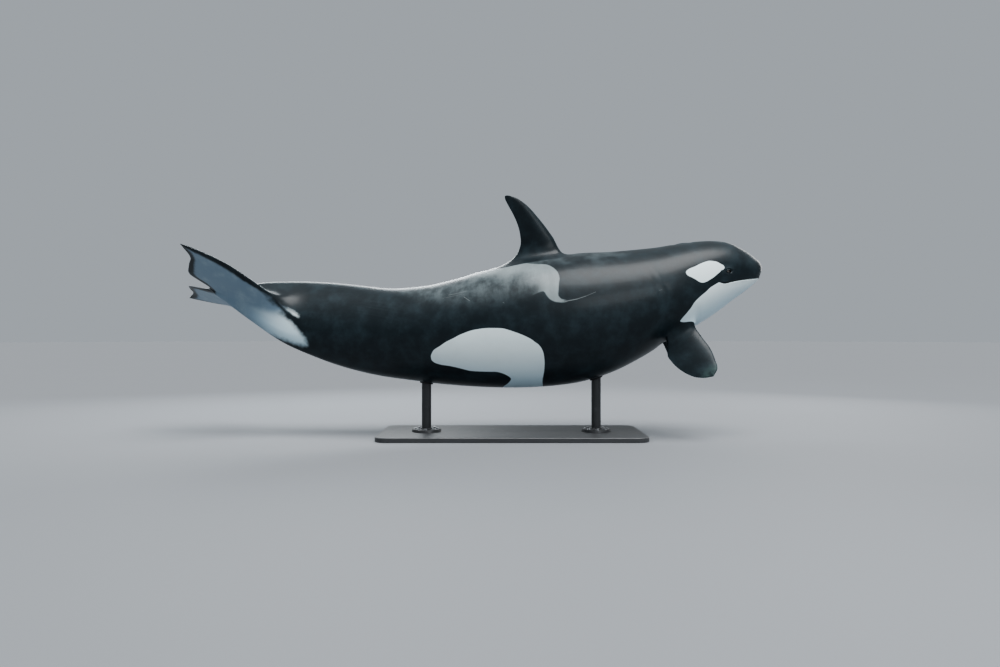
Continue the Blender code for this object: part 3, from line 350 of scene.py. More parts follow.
@dataclass(frozen=True)
class Markings:
    """The pattern of white and grey on black, and a painted sheen on the back."""

    chin: Marking = Marking(
        (
            (-0.05, -20), (-0.05, 100), (0.0, 87.0), (0.03, 83.9), (0.062, 81.6), (0.113, 79.5), (0.20, 78.1),
            (0.30, 77.6), (0.350, 77.3), (0.384, 78.1), (0.410, 80.4), (0.434, 82.6), (0.470, 81.4),
            (0.528, 79.0), (0.572, 76.0), (0.638, 73.0), (0.695, 69.4), (0.745, 64.3), (0.793, 59.0),
            (0.836, 54.6), (0.860, 50.5), (0.850, 46.0), (0.868, 41.5), (0.850, 36.5), (0.868, 31.0),
            (0.905, 25.0), (0.95, 20.0), (1.02, 13.5), (1.12, 10.0), (1.20, -20),
        ),
        0.0022, 0.32,
    )
    eye_patch: Marking = Marking(
        (
            (0.377, 103.2), (0.392, 107.2), (0.406, 109.7), (0.428, 112.5), (0.458, 114.5), (0.489, 115.7),
            (0.522, 115.3), (0.567, 114.2), (0.614, 112.8), (0.659, 112.1), (0.688, 110.8), (0.702, 108.8),
            (0.697, 105.3), (0.681, 102.6), (0.646, 97.8), (0.625, 94.2), (0.610, 92.1), (0.585, 90.1),
            (0.556, 89.7), (0.516, 90.8), (0.476, 92.7), (0.435, 96.1), (0.406, 98.7), (0.385, 101),
        ),
        0.0022, 0.35,
    )
    band: Marking = Marking(
        (
            (0.80, -14), (0.80, 14), (1.12, 10), (1.50, 9), (1.95, 9.5), (2.10, 14), (2.40, 9.5), (2.80, 8.5),
            (3.00, 7), (3.15, 4), (3.20, 0), (3.15, -14),
        ),
        0.004, 0.53,
    )
    flank: Marking = Marking(
        (
            (2.903, 71.4), (2.885, 73.9), (2.842, 77.7), (2.799, 81.7), (2.756, 84.5), (2.713, 87.2),
            (2.669, 90), (2.583, 93.8), (2.499, 95.5), (2.441, 95.9), (2.375, 95.5), (2.31, 94.6),
            (2.255, 92.5), (2.177, 88.7), (2.1, 83.9), (2.063, 80.4), (2.027, 76.5), (2.005, 69.9),
            (2.004, 60), (2.015, 49.7), (2.031, 38), (2.03, 20), (2.02, -20), (2.36, -20), (2.372, 10),
            (2.36, 24), (2.331, 31), (2.303, 37.9), (2.293, 42.3), (2.315, 46.2), (2.354, 49.7),
            (2.402, 51.6), (2.459, 51.5), (2.539, 51.1), (2.62, 51), (2.698, 53.1), (2.777, 54.9),
            (2.856, 55.5), (2.912, 58.4), (2.925, 64.5),
        ),
        0.0030, 0.52,
    )
    # The tail's white underside, in the tail's own frame, with its spike, the black lobe and the black keel.
    under_tail: Marking = Marking(
        (
            (4.46, 130), (4.40, 96), (4.31, 84), (4.21, 75), (4.11, 69), (4.17, 67), (4.23, 64.5),
            (4.275, 57), (4.262, 51), (4.228, 46.5), (4.185, 42.5), (4.12, 40), (4.06, 37.5), (4.00, 30.5),
            (3.965, 25), (3.955, 21), (3.99, 17.5), (4.07, 14), (4.15, 11.5), (4.22, 8), (4.29, 2),
            (4.34, -6), (4.36, -20), (5.60, -20), (5.60, 130),
        ),
        0.026, 0.20, False,
    )
    # The grey behind the fin: its sharp front with the hook, and the soft shape in which it fades rearwards.
    saddle: Marking = Marking(
        (
            (2.145, 200), (2.105, 176), (2.06, 169.5), (2.005, 163.5), (1.94, 159), (1.879, 156), (1.84, 151),
            (1.805, 144), (1.787, 139), (1.784, 133), (1.797, 128), (1.812, 121.5), (1.822, 116.5),
            (1.80, 113.2), (1.765, 112.0), (1.745, 111.0), (1.77, 110.2), (1.801, 110.3), (1.857, 111.8),
            (1.895, 114.4), (1.920, 118.5), (1.932, 122), (1.97, 122), (2.06, 119), (2.20, 115), (2.50, 112),
            (3.10, 112), (3.40, 150), (3.40, 200),
        ),
        0.0055, 0.50,
    )
    fade: Marking = Marking(
        (
            (1.55, 100), (1.55, 200), (2.56, 200), (2.56, 174), (2.42, 161), (2.24, 150), (2.09, 142),
            (1.995, 135), (1.955, 127), (1.955, 100),
        ),
        0.070, 0.48,
    )
    # Length of the black end of the underside at the notch.
    notch_margin: float = 0.09
    # Dim grey that clouds the back behind the saddle, and a fainter painted sheen in front of the fin.
    cloud: Marking = Marking(
        (
            (1.90, 200), (1.93, 150), (1.99, 134), (2.15, 128), (2.40, 127), (2.60, 129), (2.80, 133),
            (3.00, 138), (3.12, 146), (3.20, 160), (3.22, 200),
        ),
        0.10, 0.46,
    )
    # Painted sheen: a soft pale patch on the back in front of the fin.
    sheen: Marking = Marking(
        ((1.05, 190), (1.10, 164), (1.30, 155), (1.55, 152), (1.78, 158), (1.86, 172), (1.86, 190)),
        0.12, 0.50,
    )

    def white(self, s: Array, around: Array) -> Array:
        """Return the white pattern's depth inside its edge, in half widths of that edge."""
        patches = (self.chin, self.eye_patch, self.band, self.flank)
        return np.max([patch.inside(s, around) for patch in patches], 0)

    def tail_white(self, points: Array) -> Array:
        """Return the same for the tail's underside, from the places of its points."""
        return self.under_tail.inside(*PLAN.tail_place(points))


MARKINGS = Markings()


class Mark(Enum):
    """The values that each point of the skin carries for its finish."""

    ALONG = "along"
    AROUND = "around"
    WHITE = "white"
    GREY = "grey"
    FADE = "fade"
    CLOUD = "cloud"
    SHEEN = "sheen"
    FLIPPER = "flipper"


MARKS = list(Mark)
BLACK_MARKS = {Mark.WHITE: -40.0, Mark.GREY: -40.0, Mark.FADE: -4.0, Mark.CLOUD: -4.0, Mark.SHEEN: -4.0}
# Depth inside or outside a marking past which it makes no difference.
DEEPEST = 400
# The tail's white lies behind this distance and below this angle.
TAIL_START, TAIL_TOP = 3.8, 88


def body_marks(s: Array, around: Array, points: Array) -> Array:
    """Mark places of the body.

    Args:
        s: Distances along the body.
        around: Angles from the belly, in degrees.
        points: Their points.

    Returns:
        One column for each member of Mark.
    """
    end = (PLAN.notch - MARKINGS.notch_margin - s) / MARKINGS.under_tail.blur
    on_tail = (s > TAIL_START) & (around < TAIL_TOP)
    tail = np.where(on_tail, np.minimum(MARKINGS.tail_white(points), end), -DEEPEST)
    values = {
        Mark.ALONG: s,
        Mark.AROUND: around,
        Mark.WHITE: np.maximum(MARKINGS.white(s, around), tail),
        Mark.GREY: MARKINGS.saddle.inside(s, around),
        Mark.FADE: MARKINGS.fade.inside(s, around),
        Mark.CLOUD: MARKINGS.cloud.inside(s, around),
        Mark.SHEEN: MARKINGS.sheen.inside(s, around),
        Mark.FLIPPER: np.zeros_like(s),
    }
    return np.stack([np.clip(values[mark], -DEEPEST, DEEPEST) for mark in MARKS], -1)


@dataclass(frozen=True)
class Patch:
    """A rectangle of the texture sheet that takes one unrolled piece of the skin."""

    left: float
    low: float
    right: float
    high: float

    def place(self, u: Array, v: Array) -> Array:
        """Return sheet coordinates of shares across and up the patch."""
        u, v = np.broadcast_arrays(np.asarray(u, float), np.asarray(v, float))
        return np.stack([self.left + (self.right - self.left) * u, self.low + (self.high - self.low) * v], -1)


class Hide:
    """A growing closed skin: points with their marks, and faces with their texture coordinates."""

    def __init__(self) -> None:
        """Start with nothing."""
        self.points: list[Array] = []
        self.marks: list[Array] = []
        self.faces: list[tuple[int, ...]] = []
        self.sheet: list[Array] = []
        self.ease: list[Array] = []
        self.count = 0

    def add(self, points: Array, marks: Array, ease: Array | float = 0.0) -> Array:
        """Add points.

        Args:
            points: One or more points.
            marks: Their marks.
            ease: Their share of the later smoothing.

        Returns:
            Their numbers.
        """
        points = np.asarray(points, float).reshape(-1, 3)
        self.points.append(points)
        self.ease.append(np.broadcast_to(np.asarray(ease, float).ravel(), len(points)))
        self.marks.append(np.broadcast_to(np.asarray(marks, float), (len(points), len(MARKS))))
        self.count += len(points)
        return np.arange(self.count - len(points), self.count)

    def at(self, numbers: Array) -> tuple[Array, Array]:
        """Return the points of the given numbers, and their marks."""
        return np.concatenate(self.points)[numbers], np.concatenate(self.marks)[numbers]

    def strip(self, outer: Array, inner: Array, sheet_outer: Array, sheet_inner: Array) -> None:
        """Join two closed loops that run the same way round.

        Args:
            outer: Numbers of the points of the first loop.
            inner: Numbers of the points of the second loop.
            sheet_outer: Texture coordinates along the first loop, one more than it has points.
            sheet_inner: The same along the second loop.
        """
        n = len(outer)
        for i in range(n):
            j = (i + 1) % n
            self.faces.append((outer[i], outer[j], inner[j], inner[i]))
            corners = (sheet_outer[i], sheet_outer[i + 1], sheet_inner[i + 1], sheet_inner[i])
            self.sheet.append(np.array(corners))

    def fan(self, loop: Array, middle: int, place: Array) -> None:
        """Close a loop with triangles.

        Args:
            loop: Numbers of the loop's points.
            middle: Number of the point in the middle.
            place: Its place on the texture sheet.
        """
        for i in range(len(loop)):
            self.faces.append((loop[i], loop[(i + 1) % len(loop)], middle))
            self.sheet.append(np.array((place, place + (0.0005, 0), place + (0, 0.0005))))

    def eased(self, rounds: int) -> Array:
        """Move points towards their neighbours' middle, each by its share.

        Args:
            rounds: How often.

        Returns:
            The points.
        """
        points, share = np.concatenate(self.points), 0.5 * np.concatenate(self.ease)[:, None]
        pairs = np.array([pair for face in self.faces for pair in zip(face, (*face[1:], face[0]))])
        start, end = pairs.T
        count = np.bincount(start, minlength=self.count) + np.bincount(end, minlength=self.count)
        count = np.maximum(count, 1)
        for _ in range(rounds):
            sums = []
            for k in range(3):
                ahead = np.bincount(start, points[end, k], self.count)
                sums.append(ahead + np.bincount(end, points[start, k], self.count))
            points = points + share * (np.stack(sums, -1) / count[:, None] - points)
        return points

    def mesh(self, name: str, rounds: int) -> bpy.types.Mesh:
        """Make the mesh, with its marks and texture places.

        Args:
            name: Its name.
            rounds: Rounds of smoothing.

        Returns:
            The smooth mesh.
        """
        mesh = bpy.data.meshes.new(name)
        points = self.eased(rounds)
        mesh.from_pydata(points.tolist(), [], [tuple(int(i) for i in f) for f in self.faces])
        values = np.concatenate(self.marks)
        for k, mark in enumerate(MARKS):
            layer = mesh.attributes.new(mark.value, "FLOAT", "POINT")
            layer.data.foreach_set("value", values[:, k].astype(np.float32))
        sheet = mesh.uv_layers.new(name="OFBake")
        sheet.data.foreach_set("uv", np.concatenate(self.sheet).astype(np.float32).ravel())
        bm = bmesh.new()
        bm.from_mesh(mesh)
        bmesh.ops.delete(bm, geom=[v for v in bm.verts if not v.link_faces], context="VERTS")
        bmesh.ops.recalc_face_normals(bm, faces=bm.faces)
        if bm.calc_volume(signed=True) < 0:
            bmesh.ops.reverse_faces(bm, faces=bm.faces)
        bm.to_mesh(mesh)
        bm.free()
        mesh.shade_smooth()
        return mesh


class Tube:
    """Rings laid one after the other from a closed loop of the skin."""

    def __init__(self, hide: Hide, loop: Array, patch: Patch, rings: int, top: float = 1.0) -> None:
        """Start at a loop.

        Args:
            hide: The skin that it grows on.
            loop: Numbers of the loop's points.
            patch: Its place on the texture sheet.
            rings: How many rings will be laid.
            top: Share of the patch that they take.
        """
        self.hide, self.patch, self.rings, self.top = hide, patch, rings, top
        self.across = np.linspace(0, 1, len(loop) + 1)
        self.last, self.last_sheet, self.done = loop, patch.place(self.across, 0.0), 0

    def lay(self, ring: Array, marks: Array, ease: Array | float) -> None:
        """Add the next ring.

        Args:
            ring: Its points.
            marks: Their marks.
            ease: Their share of the later smoothing.
        """
        self.done += 1
        now = self.hide.add(ring, marks, ease)
        sheet = self.patch.place(self.across, self.top * self.done / self.rings)
        self.hide.strip(self.last, now, self.last_sheet, sheet)
        self.last, self.last_sheet = now, sheet

    def end(self, point: Array, across: float) -> None:
        """Close the last ring with triangles to a point, at a share across the top of the patch."""
        tip = self.hide.add(point, self.hide.marks[-1][0])[0]
        self.hide.fan(self.last, tip, self.patch.place(across, 1.0))


@dataclass(frozen=True)
class Spot:
    """A place on the skin with the rearward, sideways and outward directions there."""

    at: Array
    back: Array
    side: Array
    out: Array

    def local(self, points: Array) -> Array:
        """Return points in the spot's own directions."""
        return np.stack([(points - self.at) @ way for way in (self.back, self.side, self.out)], -1)

    def world(self, local: Array) -> Array:
        """Return points given in the spot's own directions."""
        return self.at + local[:, :1] * self.back + local[:, 1:2] * self.side + local[:, 2:] * self.out


def dome(local: Array, flat: Array) -> Array:
    """Return the skin's height under points that are drawn in from a loop, both in a spot's directions."""
    return local[:, 2] * (flat**2).sum(1) / (local[:, :2] ** 2).sum(1)


@dataclass(frozen=True)
class Fin:
    """A fin as a run of wing sections, grown from an opening in the body's grid.

    Attributes:
        section: Gives lead, trail, normal and thickness at a share of the span.
        marks: Gives a loop's marks from its share of the span, of chord and of thickness, and its points.
        patch: Its place on the texture sheet.
        fillet: Rings of the fillet at its root.
        steps: Rings along its span.
        pull: How far the fillet follows the skin before it turns up.
        nose: Share of the chord that the round front edge takes.
        tail: Share of the chord where the rear edge's rounding starts.
        tip_rings: Rings of the rounded tip.
        tip_reach: How far the tip runs on past the last section.
        eased_steps: Rings past the fillet that the later smoothing still moves.
        lean: Share of the span over which its direction is taken at its root and its tip.
        shared_rise: How far all points of the root rise in the same direction.
        patch_share: Share of the patch below the tip's triangles.
    """

    section: Callable[[float], Section]
    marks: Callable[[float, Array, Array, Array], Array]
    patch: Patch
    fillet: int = 12
    steps: int = 36
    pull: float = 1.1
    nose: float = 0.035
    tail: float = 0.985
    tip_rings: int = 9
    tip_reach: float = 1.3
    eased_steps: int = 5
    lean: float = 0.04
    shared_rise: float = 0.6
    patch_share: float = 0.98

    @staticmethod
    def foil(u: Array) -> Array:
        """Return half the thickness of a wing section of thickness one, from front at 0 to rear at 1."""
        return 1.4845 * np.sqrt(u) - 0.63 * u - 1.758 * u**2 + 1.4215 * u**3 - 0.5075 * u**4

    def stations(self, ni: int, nj: int) -> tuple[Array, Array]:
        """Place the points of a loop round the section.

        Args:
            ni: Cells along the chord.
            nj: Cells round the front and the rear.

        Returns:
            Shares of the chord and of the thickness, with its sign.
        """
        face = self.nose + (self.tail - self.nose) * (1 - np.cos(np.pi * np.arange(ni + 1) / ni)) / 2
        turn = np.arange(1, nj) / nj
        behind = self.tail + (1 - self.tail) * np.sin(np.pi * turn)
        ahead = self.nose * (2 * turn - 1) ** 2
        rear, front = self.foil(self.tail) * (1 - 2 * turn), self.foil(self.nose) * (2 * turn - 1)
        u = np.concatenate([face, behind, face[::-1], ahead])
        return u, np.concatenate([self.foil(face), rear, -self.foil(face[::-1]), front])

    def loop(self, v: float, ni: int, nj: int) -> Array:
        """Lay one section, its first face towards the normal.

        Args:
            v: Share of the span.
            ni: Cells along the chord.
            nj: Cells round the front and the rear.

        Returns:
            The closed loop.
        """
        lead, trail, normal, thick = self.section(v)
        u, side = self.stations(ni, nj)
        return lead + np.outer(u, trail - lead) + np.outer(side * thick, normal)

    def grow(self, hide: Hide, loop: Array, loop_st: Array, ni: int, nj: int) -> None:
        """Fill an opening with the fin.

        Args:
            hide: The skin that it grows on.
            loop: Numbers of the opening's points.
            loop_st: Their distances and angles.
            ni: Cells of the opening along the body.
            nj: Cells of the opening round it.
        """
        first = self.loop(0.0, ni, nj)
        rise = self.loop(self.lean, ni, nj) - first
        start, start_marks = hide.at(loop)
        normals = PLAN.outward(loop_st[:, 0], loop_st[:, 1])
        across = first - start
        span = np.linalg.norm(across, axis=1, keepdims=True)
        flat = unit(across - (across * normals).sum(1, keepdims=True) * normals)
        rise = self.shared_rise * unit(rise.mean(0)) + (1 - self.shared_rise) * unit(rise)
        share, side = self.stations(ni, nj)
        white = MARKS.index(Mark.WHITE)
        tube = Tube(hide, loop, self.patch, self.fillet + self.steps + self.tip_rings, self.patch_share)
        for k in range(1, self.fillet + 1):
            u = k / self.fillet
            a, b = u * u * (3 - 2 * u), u * (1 - u)
            bow = span * ((1 - u) * flat - u * rise) * self.pull
            ring = (1 - a) * start + a * first + b * bow
            marks = self.marks(0.0, share, side, ring)
            marks[:, :2] = (1 - a) * start_marks[:, :2] + a * marks[:, :2]
            marks[:, white] = (1 - u) * start_marks[:, white] + u * marks[:, white]
            tube.lay(ring, marks, 1.0)
        for k in range(1, self.steps + 1):
            ring = self.loop(k / self.steps, ni, nj)
            tube.lay(ring, self.marks(k / self.steps, share, side, ring), max(0.0, 1 - k / self.eased_steps))
        self.close(tube, share, side)

    def tip(self) -> tuple[Array, Array, Array]:
        """Shape the tip.

        Returns:
            Where the front and the rear edge bend in, and the end.
        """
        lead, trail, _, _ = self.section(1.0)
        lead_before, trail_before, _, _ = self.section(1 - self.lean)
        lead_bend = lead + (lead - lead_before) * self.tip_reach
        trail_bend = trail + (trail - trail_before) * self.tip_reach
        return lead_bend, trail_bend, (lead_bend + trail_bend) / 2

    def close(self, tube: Tube, share: Array, side: Array) -> None:
        """Lay the rounded tip, on two arcs that meet at its end.

        Args:
            tube: The fin's rings so far.
            share: Shares of the chord.
            side: Shares of the thickness.
        """
        lead, trail, normal, thick = self.section(1.0)
        lead_bend, trail_bend, end = self.tip()
        for k in range(1, self.tip_rings + 1):
            w = math.sin(math.pi / 2 * k / (self.tip_rings + 0.8))
            a, b, c = (1 - w) ** 2, 2 * w * (1 - w), w * w
            front, rear = a * lead + b * lead_bend + c * end, a * trail + b * trail_bend + c * end
            high = side * thick * math.sqrt(1 - w * w)
            ring = front + np.outer(share, rear - front) + np.outer(high, normal)
            tube.lay(ring, self.marks(1.0, share, side, ring), 0.0)
        tube.end(end, 0.5)


def section_marks(share: Array, **values: Array) -> Array:
    """Mark one section, black where no value is given.

    Args:
        share: Shares of the chord.
        **values: Values of marks, by the member's name.

    Returns:
        One column for each member of Mark.
    """
    given = {Mark[name.upper()]: value for name, value in values.items()}
    columns = [given.get(mark, BLACK_MARKS.get(mark, 0.0)) for mark in MARKS]
    return np.stack([np.broadcast_to(column, share.shape) for column in columns], -1).astype(float)


@dataclass(frozen=True)
class DorsalFin:
    """The curved fin on the back."""

    at: float = 2.05
    # Share of the span, height above the axis, front and rear of the chord behind the middle ring, thickness.
    sections: Table = (
        (0.0, 0.630, -0.325, 0.026, 0.084), (0.1, 0.700, -0.293, 0.010, 0.076),
        (0.2, 0.765, -0.258, 0.005, 0.069), (0.3, 0.830, -0.222, 0.008, 0.061),
        (0.4, 0.890, -0.185, 0.019, 0.054), (0.5, 0.945, -0.149, 0.035, 0.047),
        (0.6, 0.995, -0.115, 0.053, 0.041), (0.7, 1.040, -0.078, 0.072, 0.034),
        (0.8, 1.077, -0.040, 0.086, 0.028), (0.9, 1.107, -0.002, 0.096, 0.021),
        (1.0, 1.128, 0.040, 0.097, 0.012),
    )

    def section(self, v: float) -> Section:
        """Read the sections.

        Args:
            v: Share of the span.

        Returns:
            Front, rear, normal and thickness.
        """
        centre, right, dorsal = PLAN.one_ring(self.at)
        back = unit(PLAN.one_ring(self.at + 0.05)[0] - PLAN.one_ring(self.at - 0.05)[0])
        high, front, rear, thick = curve(self.sections, v)[0]
        base = centre + dorsal * high
        return base + back * front, base + back * rear, -right, thick

    def marks(self, v: float, share: Array, side: Array, ring: Array) -> Array:
        """Return the marks of the section's loop."""
        return section_marks(share, along=np.full_like(share, self.at), around=np.full_like(share, 180.0))

    def fin(self) -> Fin:
        """Return the fin as it grows."""
        return Fin(self.section, self.marks, Patch(0.01, 0.71, 0.15, 0.93))


@dataclass(frozen=True)
class Flipper:
    """A paddle-shaped flipper."""

    side: Side
    root: Triple
    span: Triple
    chord: Triple
    patch: Patch
    # Share of the span, distance out, front and rear of the chord, thickness.
    sections: Table = (
        (0.0, 0.090, -0.108, 0.196, 0.070), (0.1, 0.130, -0.104, 0.222, 0.066),
        (0.2, 0.180, -0.098, 0.235, 0.062), (0.3, 0.235, -0.093, 0.235, 0.056),
        (0.4, 0.290, -0.089, 0.229, 0.050), (0.5, 0.340, -0.079, 0.217, 0.044),
        (0.6, 0.385, -0.065, 0.200, 0.039), (0.7, 0.430, -0.048, 0.176, 0.033),
        (0.8, 0.466, -0.035, 0.146, 0.028), (0.9, 0.498, -0.012, 0.107, 0.022),
        (1.0, 0.517, 0.026, 0.071, 0.014),
    )

    def section(self, v: float) -> Section:
        """Read the sections.

        Args:
            v: Share of the span.

        Returns:
            Front, rear, normal and thickness.
        """
        root, span = np.array(self.root) + (0, 0, PLAN.lift), unit(self.span)
        chord = unit(np.array(self.chord) - np.array(self.chord) @ span * span)
        out, front, rear, thick = curve(self.sections, v)[0]
        middle = root + span * out
        return middle + chord * front, middle + chord * rear, np.cross(chord, span), thick

    def marks(self, v: float, share: Array, side: Array, ring: Array) -> Array:
        """Mark one loop.

        Args:
            v: Share of the span.
            share: Shares of the chord.
            side: Shares of the thickness, not used.
            ring: Its points, not used.

        Returns:
            The marks.
        """
        return section_marks(
            share,
            along=np.full_like(share, 0.84),
            around=np.full_like(share, 38.0),
            flipper=np.full_like(share, v),
        )

    def fin(self) -> Fin:
        """Return the flipper as it grows."""
        return Fin(self.section, self.marks, self.patch)


@dataclass(frozen=True)
class Fluke:
    """One of the two tail flukes."""

    side: Side
    slope: float
    patch: Patch
    bulge: float = 0.0
    curl: float = 0.0
    # Share of the span, front point behind the notch and out, rear point behind the notch and out, thickness.
    sections: Table = (
        (0.00, -0.640, 0.190, 0.100, 0.080, 0.082), (0.12, -0.530, 0.265, 0.165, 0.130, 0.072),
        (0.25, -0.420, 0.328, 0.190, 0.190, 0.062), (0.38, -0.300, 0.384, 0.186, 0.255, 0.052),
        (0.50, -0.175, 0.435, 0.180, 0.320, 0.043), (0.62, -0.060, 0.478, 0.170, 0.378, 0.035),
        (0.73, 0.040, 0.510, 0.180, 0.425, 0.028), (0.83, 0.120, 0.533, 0.202, 0.466, 0.022),
        (0.92, 0.185, 0.550, 0.228, 0.505, 0.016), (1.00, 0.232, 0.556, 0.248, 0.538, 0.010),
    )
    # Black margins of the white underside along front and rear, and half the width of their soft edge.
    front_margin: float = 0.072
    rear_margin: float = 0.062
    edge_blur: float = 0.020

    def point(self, behind: float, out: float) -> tuple[Array, Array]:
        """Find a point of the fluke's middle surface.

        Args:
            behind: Distance behind the root.
            out: Distance out to the side.

        Returns:
            The point and its dorsal direction.
        """
        centre, right, dorsal = PLAN.one_ring(min(PLAN.notch + behind, PLAN.notch))
        if behind > 0:
            ahead = PLAN.one_ring(PLAN.notch - 0.03)[0]
            centre = centre + unit(centre - ahead) * behind
        rise, sign = math.radians(self.slope), self.side.value
        lateral = right * sign * math.cos(rise) + dorsal * math.sin(rise)
        return centre + lateral * out, dorsal * math.cos(rise) - right * sign * math.sin(rise)

    def section(self, v: float) -> Section:
        """Read the sections.

        Args:
            v: Share of the span.

        Returns:
            Front, rear, normal and thickness.
        """
        a0, b0, a1, b1, thick = curve(self.sections, v)[0]
        middle = 4 * v * (1 - v)
        lead, up = self.point(a0, b0)
        trail, also = self.point(a1 + self.bulge * middle, b1)
        return lead, trail + also * self.curl * middle, unit(up + also) * self.side.value, thick

    def marks(self, v: float, share: Array, side: Array, ring: Array) -> Array:
        """Mark one loop: white below within black margins, black above.

        Args:
            v: Share of the span.
            share: Shares of the chord.
            side: Shares of the thickness.
            ring: Its points.

        Returns:
            The marks.
        """
        lead, trail, _, _ = self.section(v)
        chord = float(np.linalg.norm(trail - lead))
        front = share * chord - self.front_margin * (1 - 0.45 * v) * min(1.0, 0.12 + 3 * v)
        rear = (1 - share) * chord - self.rear_margin * (1 - 0.3 * v)
        below = side * self.side.value < 0
        depth = np.minimum(front, rear) / self.edge_blur
        if v < 0.3:
            depth = np.minimum(depth, MARKINGS.tail_white(ring))
        white = np.where(below, depth, -np.minimum(share, 1 - share) * chord / self.edge_blur - 1.5)
        return section_marks(
            share,
            along=np.full_like(share, 4.8),
            around=np.where(below, 60.0, 120.0),
            white=white,
        )

    def fin(self) -> Fin:
        """Return the fluke as it grows."""
        return Fin(self.section, self.marks, self.patch, steps=40)


def ring_table(rows: Table, count: int) -> Array:
    """Return a table of ring shapes read evenly at more rings than it has rows, its first row left out."""
    table = tuple((float(k),) + row for k, row in enumerate(rows))
    return curve(table, np.linspace(0, len(rows) - 1, count + 1)[1:])


@dataclass(frozen=True)
class Socket:
    """Lids of one eye and the socket behind them, grown from an opening in the grid."""

    side: Side
    patch: Patch
    # Distance and angle of its middle, the eyeball's radius, and how deep the eyeball's centre lies.
    at: float = 0.333
    angle: float = 98.7
    radius: float = 0.026
    depth: float = 0.0235
    # Half length and half height of the gap between the lids, and the room behind the eyeball.
    lid_long: float = 0.0235
    lid_high: float = 0.0125
    room: float = 0.0024
    # Share of the way from the opening to the lids, growth past the lid's edge, height, share of that height
    # that is measured from the eyeball.
    folds: Table = (
        (0.00, 0.0240, 0.0000, 0.0), (0.22, 0.0240, 0.0000, 0.0), (0.45, 0.0210, 0.0009, 0.0),
        (0.64, 0.0170, 0.0018, 0.0), (0.80, 0.0130, 0.0026, 0.0), (0.91, 0.0104, 0.0014, 0.0),
        (1.00, 0.0082, 0.0040, 1.0), (1.00, 0.0060, 0.0042, 1.0), (1.00, 0.0047, 0.0026, 1.0),
        (1.00, 0.0034, 0.0050, 1.0), (1.00, 0.0018, 0.0058, 1.0), (1.00, 0.0004, 0.0044, 1.0),
        (1.00, 0.0000, 0.0022, 1.0), (1.00, 0.0000, 0.0006, 1.0),
    )
    fold_rings: int = 44
    # Share of the way in at which the skin starts to be the lids' own, dark and unsmoothed.
    lid_share: float = 0.60
    # Lowest place of the lids' inner edge, and angles from straight out of the rings behind the eyeball.
    edge_low: float = -0.0072
    behind: tuple[int, ...] = (66, 78, 90, 105, 120, 135, 150, 165)

    def spot(self) -> Spot:
        """Find the lids' middle.

        Returns:
            The spot, with its sideways direction upwards.
        """
        t = float(PLAN.warped(self.at, self.angle if self.side is Side.RIGHT else 360 - self.angle))
        back = unit(PLAN.point(self.at + 0.01, t) - PLAN.point(self.at - 0.01, t))
        out = PLAN.outward(self.at, t)
        rise = unit(np.cross(back, out))
        if rise @ (PLAN.point(self.at, t + 1) - PLAN.point(self.at, t - 1)) < 0:
            rise = -rise
        return Spot(PLAN.point(self.at, t), back, rise, out)

    def grow(self, hide: Hide, loop: Array, loop_st: Array) -> None:
        """Fill an opening with the lids and the socket.

        Args:
            hide: The skin.
            loop: Numbers of the opening's points.
            loop_st: Their distances and angles.
        """
        spot = self.spot()
        local = spot.local(hide.at(loop)[0])
        angle = np.arctan2(local[:, 1], local[:, 0])
        cos, sin = np.cos(angle), np.sin(angle)
        upper = np.where(sin > 0, 1.0, 0.8)

        def almond(grow: float) -> Array:
            """Return the lids' outline, grown."""
            high = (self.lid_high + grow) * np.sign(sin) * np.abs(sin) ** 1.35 * upper
            return np.stack([(self.lid_long + grow) * cos, high], -1)

        def over_ball(flat: Array) -> Array:
            """Return the height of the eyeball's surface under flat points."""
            r = (self.radius + 0.001) ** 2 - (flat**2).sum(1)
            return np.maximum(-self.depth + np.sqrt(np.maximum(r, 1e-4)), self.edge_low)

        rings, shares = [], []
        for share, grow, high, on_ball in ring_table(self.folds, self.fold_rings):
            flat = local[:, :2] * (1 - share) + almond(grow) * share
            under = dome(local, flat) * (1 - on_ball) + over_ball(flat) * on_ball
            rings.append(np.column_stack([flat, under + high]))
            shares.append(share)
        for polar in self.behind:
            p, r = math.radians(polar), self.radius + self.room
            deep = np.full(len(cos), -self.depth + r * math.cos(p))
            rings.append(np.column_stack([r * math.sin(p) * cos, r * math.sin(p) * sin, deep]))
            shares.append(1.0)
        marks = skin_marks(local, np.array(rings), np.array(shares), loop_st)
        white = MARKS.index(Mark.WHITE)
        # Where the lids start to be dark, white falls from well inside its edge to well outside it.
        dark = smooth(self.lid_share, 0.9, np.array(shares))[:, None]
        marks[..., white] = np.minimum(marks[..., white], 6 - 12 * dark)
        eased = 0.8 * (1 - smooth(0.1, self.lid_share, np.array(shares)))
        tube = Tube(hide, loop, self.patch, len(rings))
        for ring, mark, ease in zip(rings, marks, eased):
            tube.lay(spot.world(ring), mark, ease)
        tube.end(spot.at - spot.out * (self.depth + self.radius + self.room), 0.0)


def skin_marks(local: Array, rings: Array, shares: Array, loop_st: Array) -> Array:
    """Return the marks of rings laid inside an opening, from where each point would lie on the body.

    Args:
        local: The opening's points in the frame of its middle.
        rings: The rings' points in that frame.
        shares: How far in from the opening each ring is.
        loop_st: Distances and angles of the opening's points.

    Returns:
        One row of marks for each point of each ring.
    """
    flat = np.column_stack([local[:, :2], np.ones(len(local))])
    fit = np.linalg.lstsq(flat, loop_st, rcond=None)[0]
    off = loop_st - flat @ fit
    st = rings[..., :2] @ fit[:2] + fit[2] + off * (1 - shares)[:, None, None]
    points = PLAN.point(st[..., 0], st[..., 1]).reshape(-1, 3)
    marks = body_marks(st[..., 0].ravel(), from_belly(st[..., 1]).ravel(), points)
    return marks.reshape(rings.shape[:2] + (len(MARKS),))


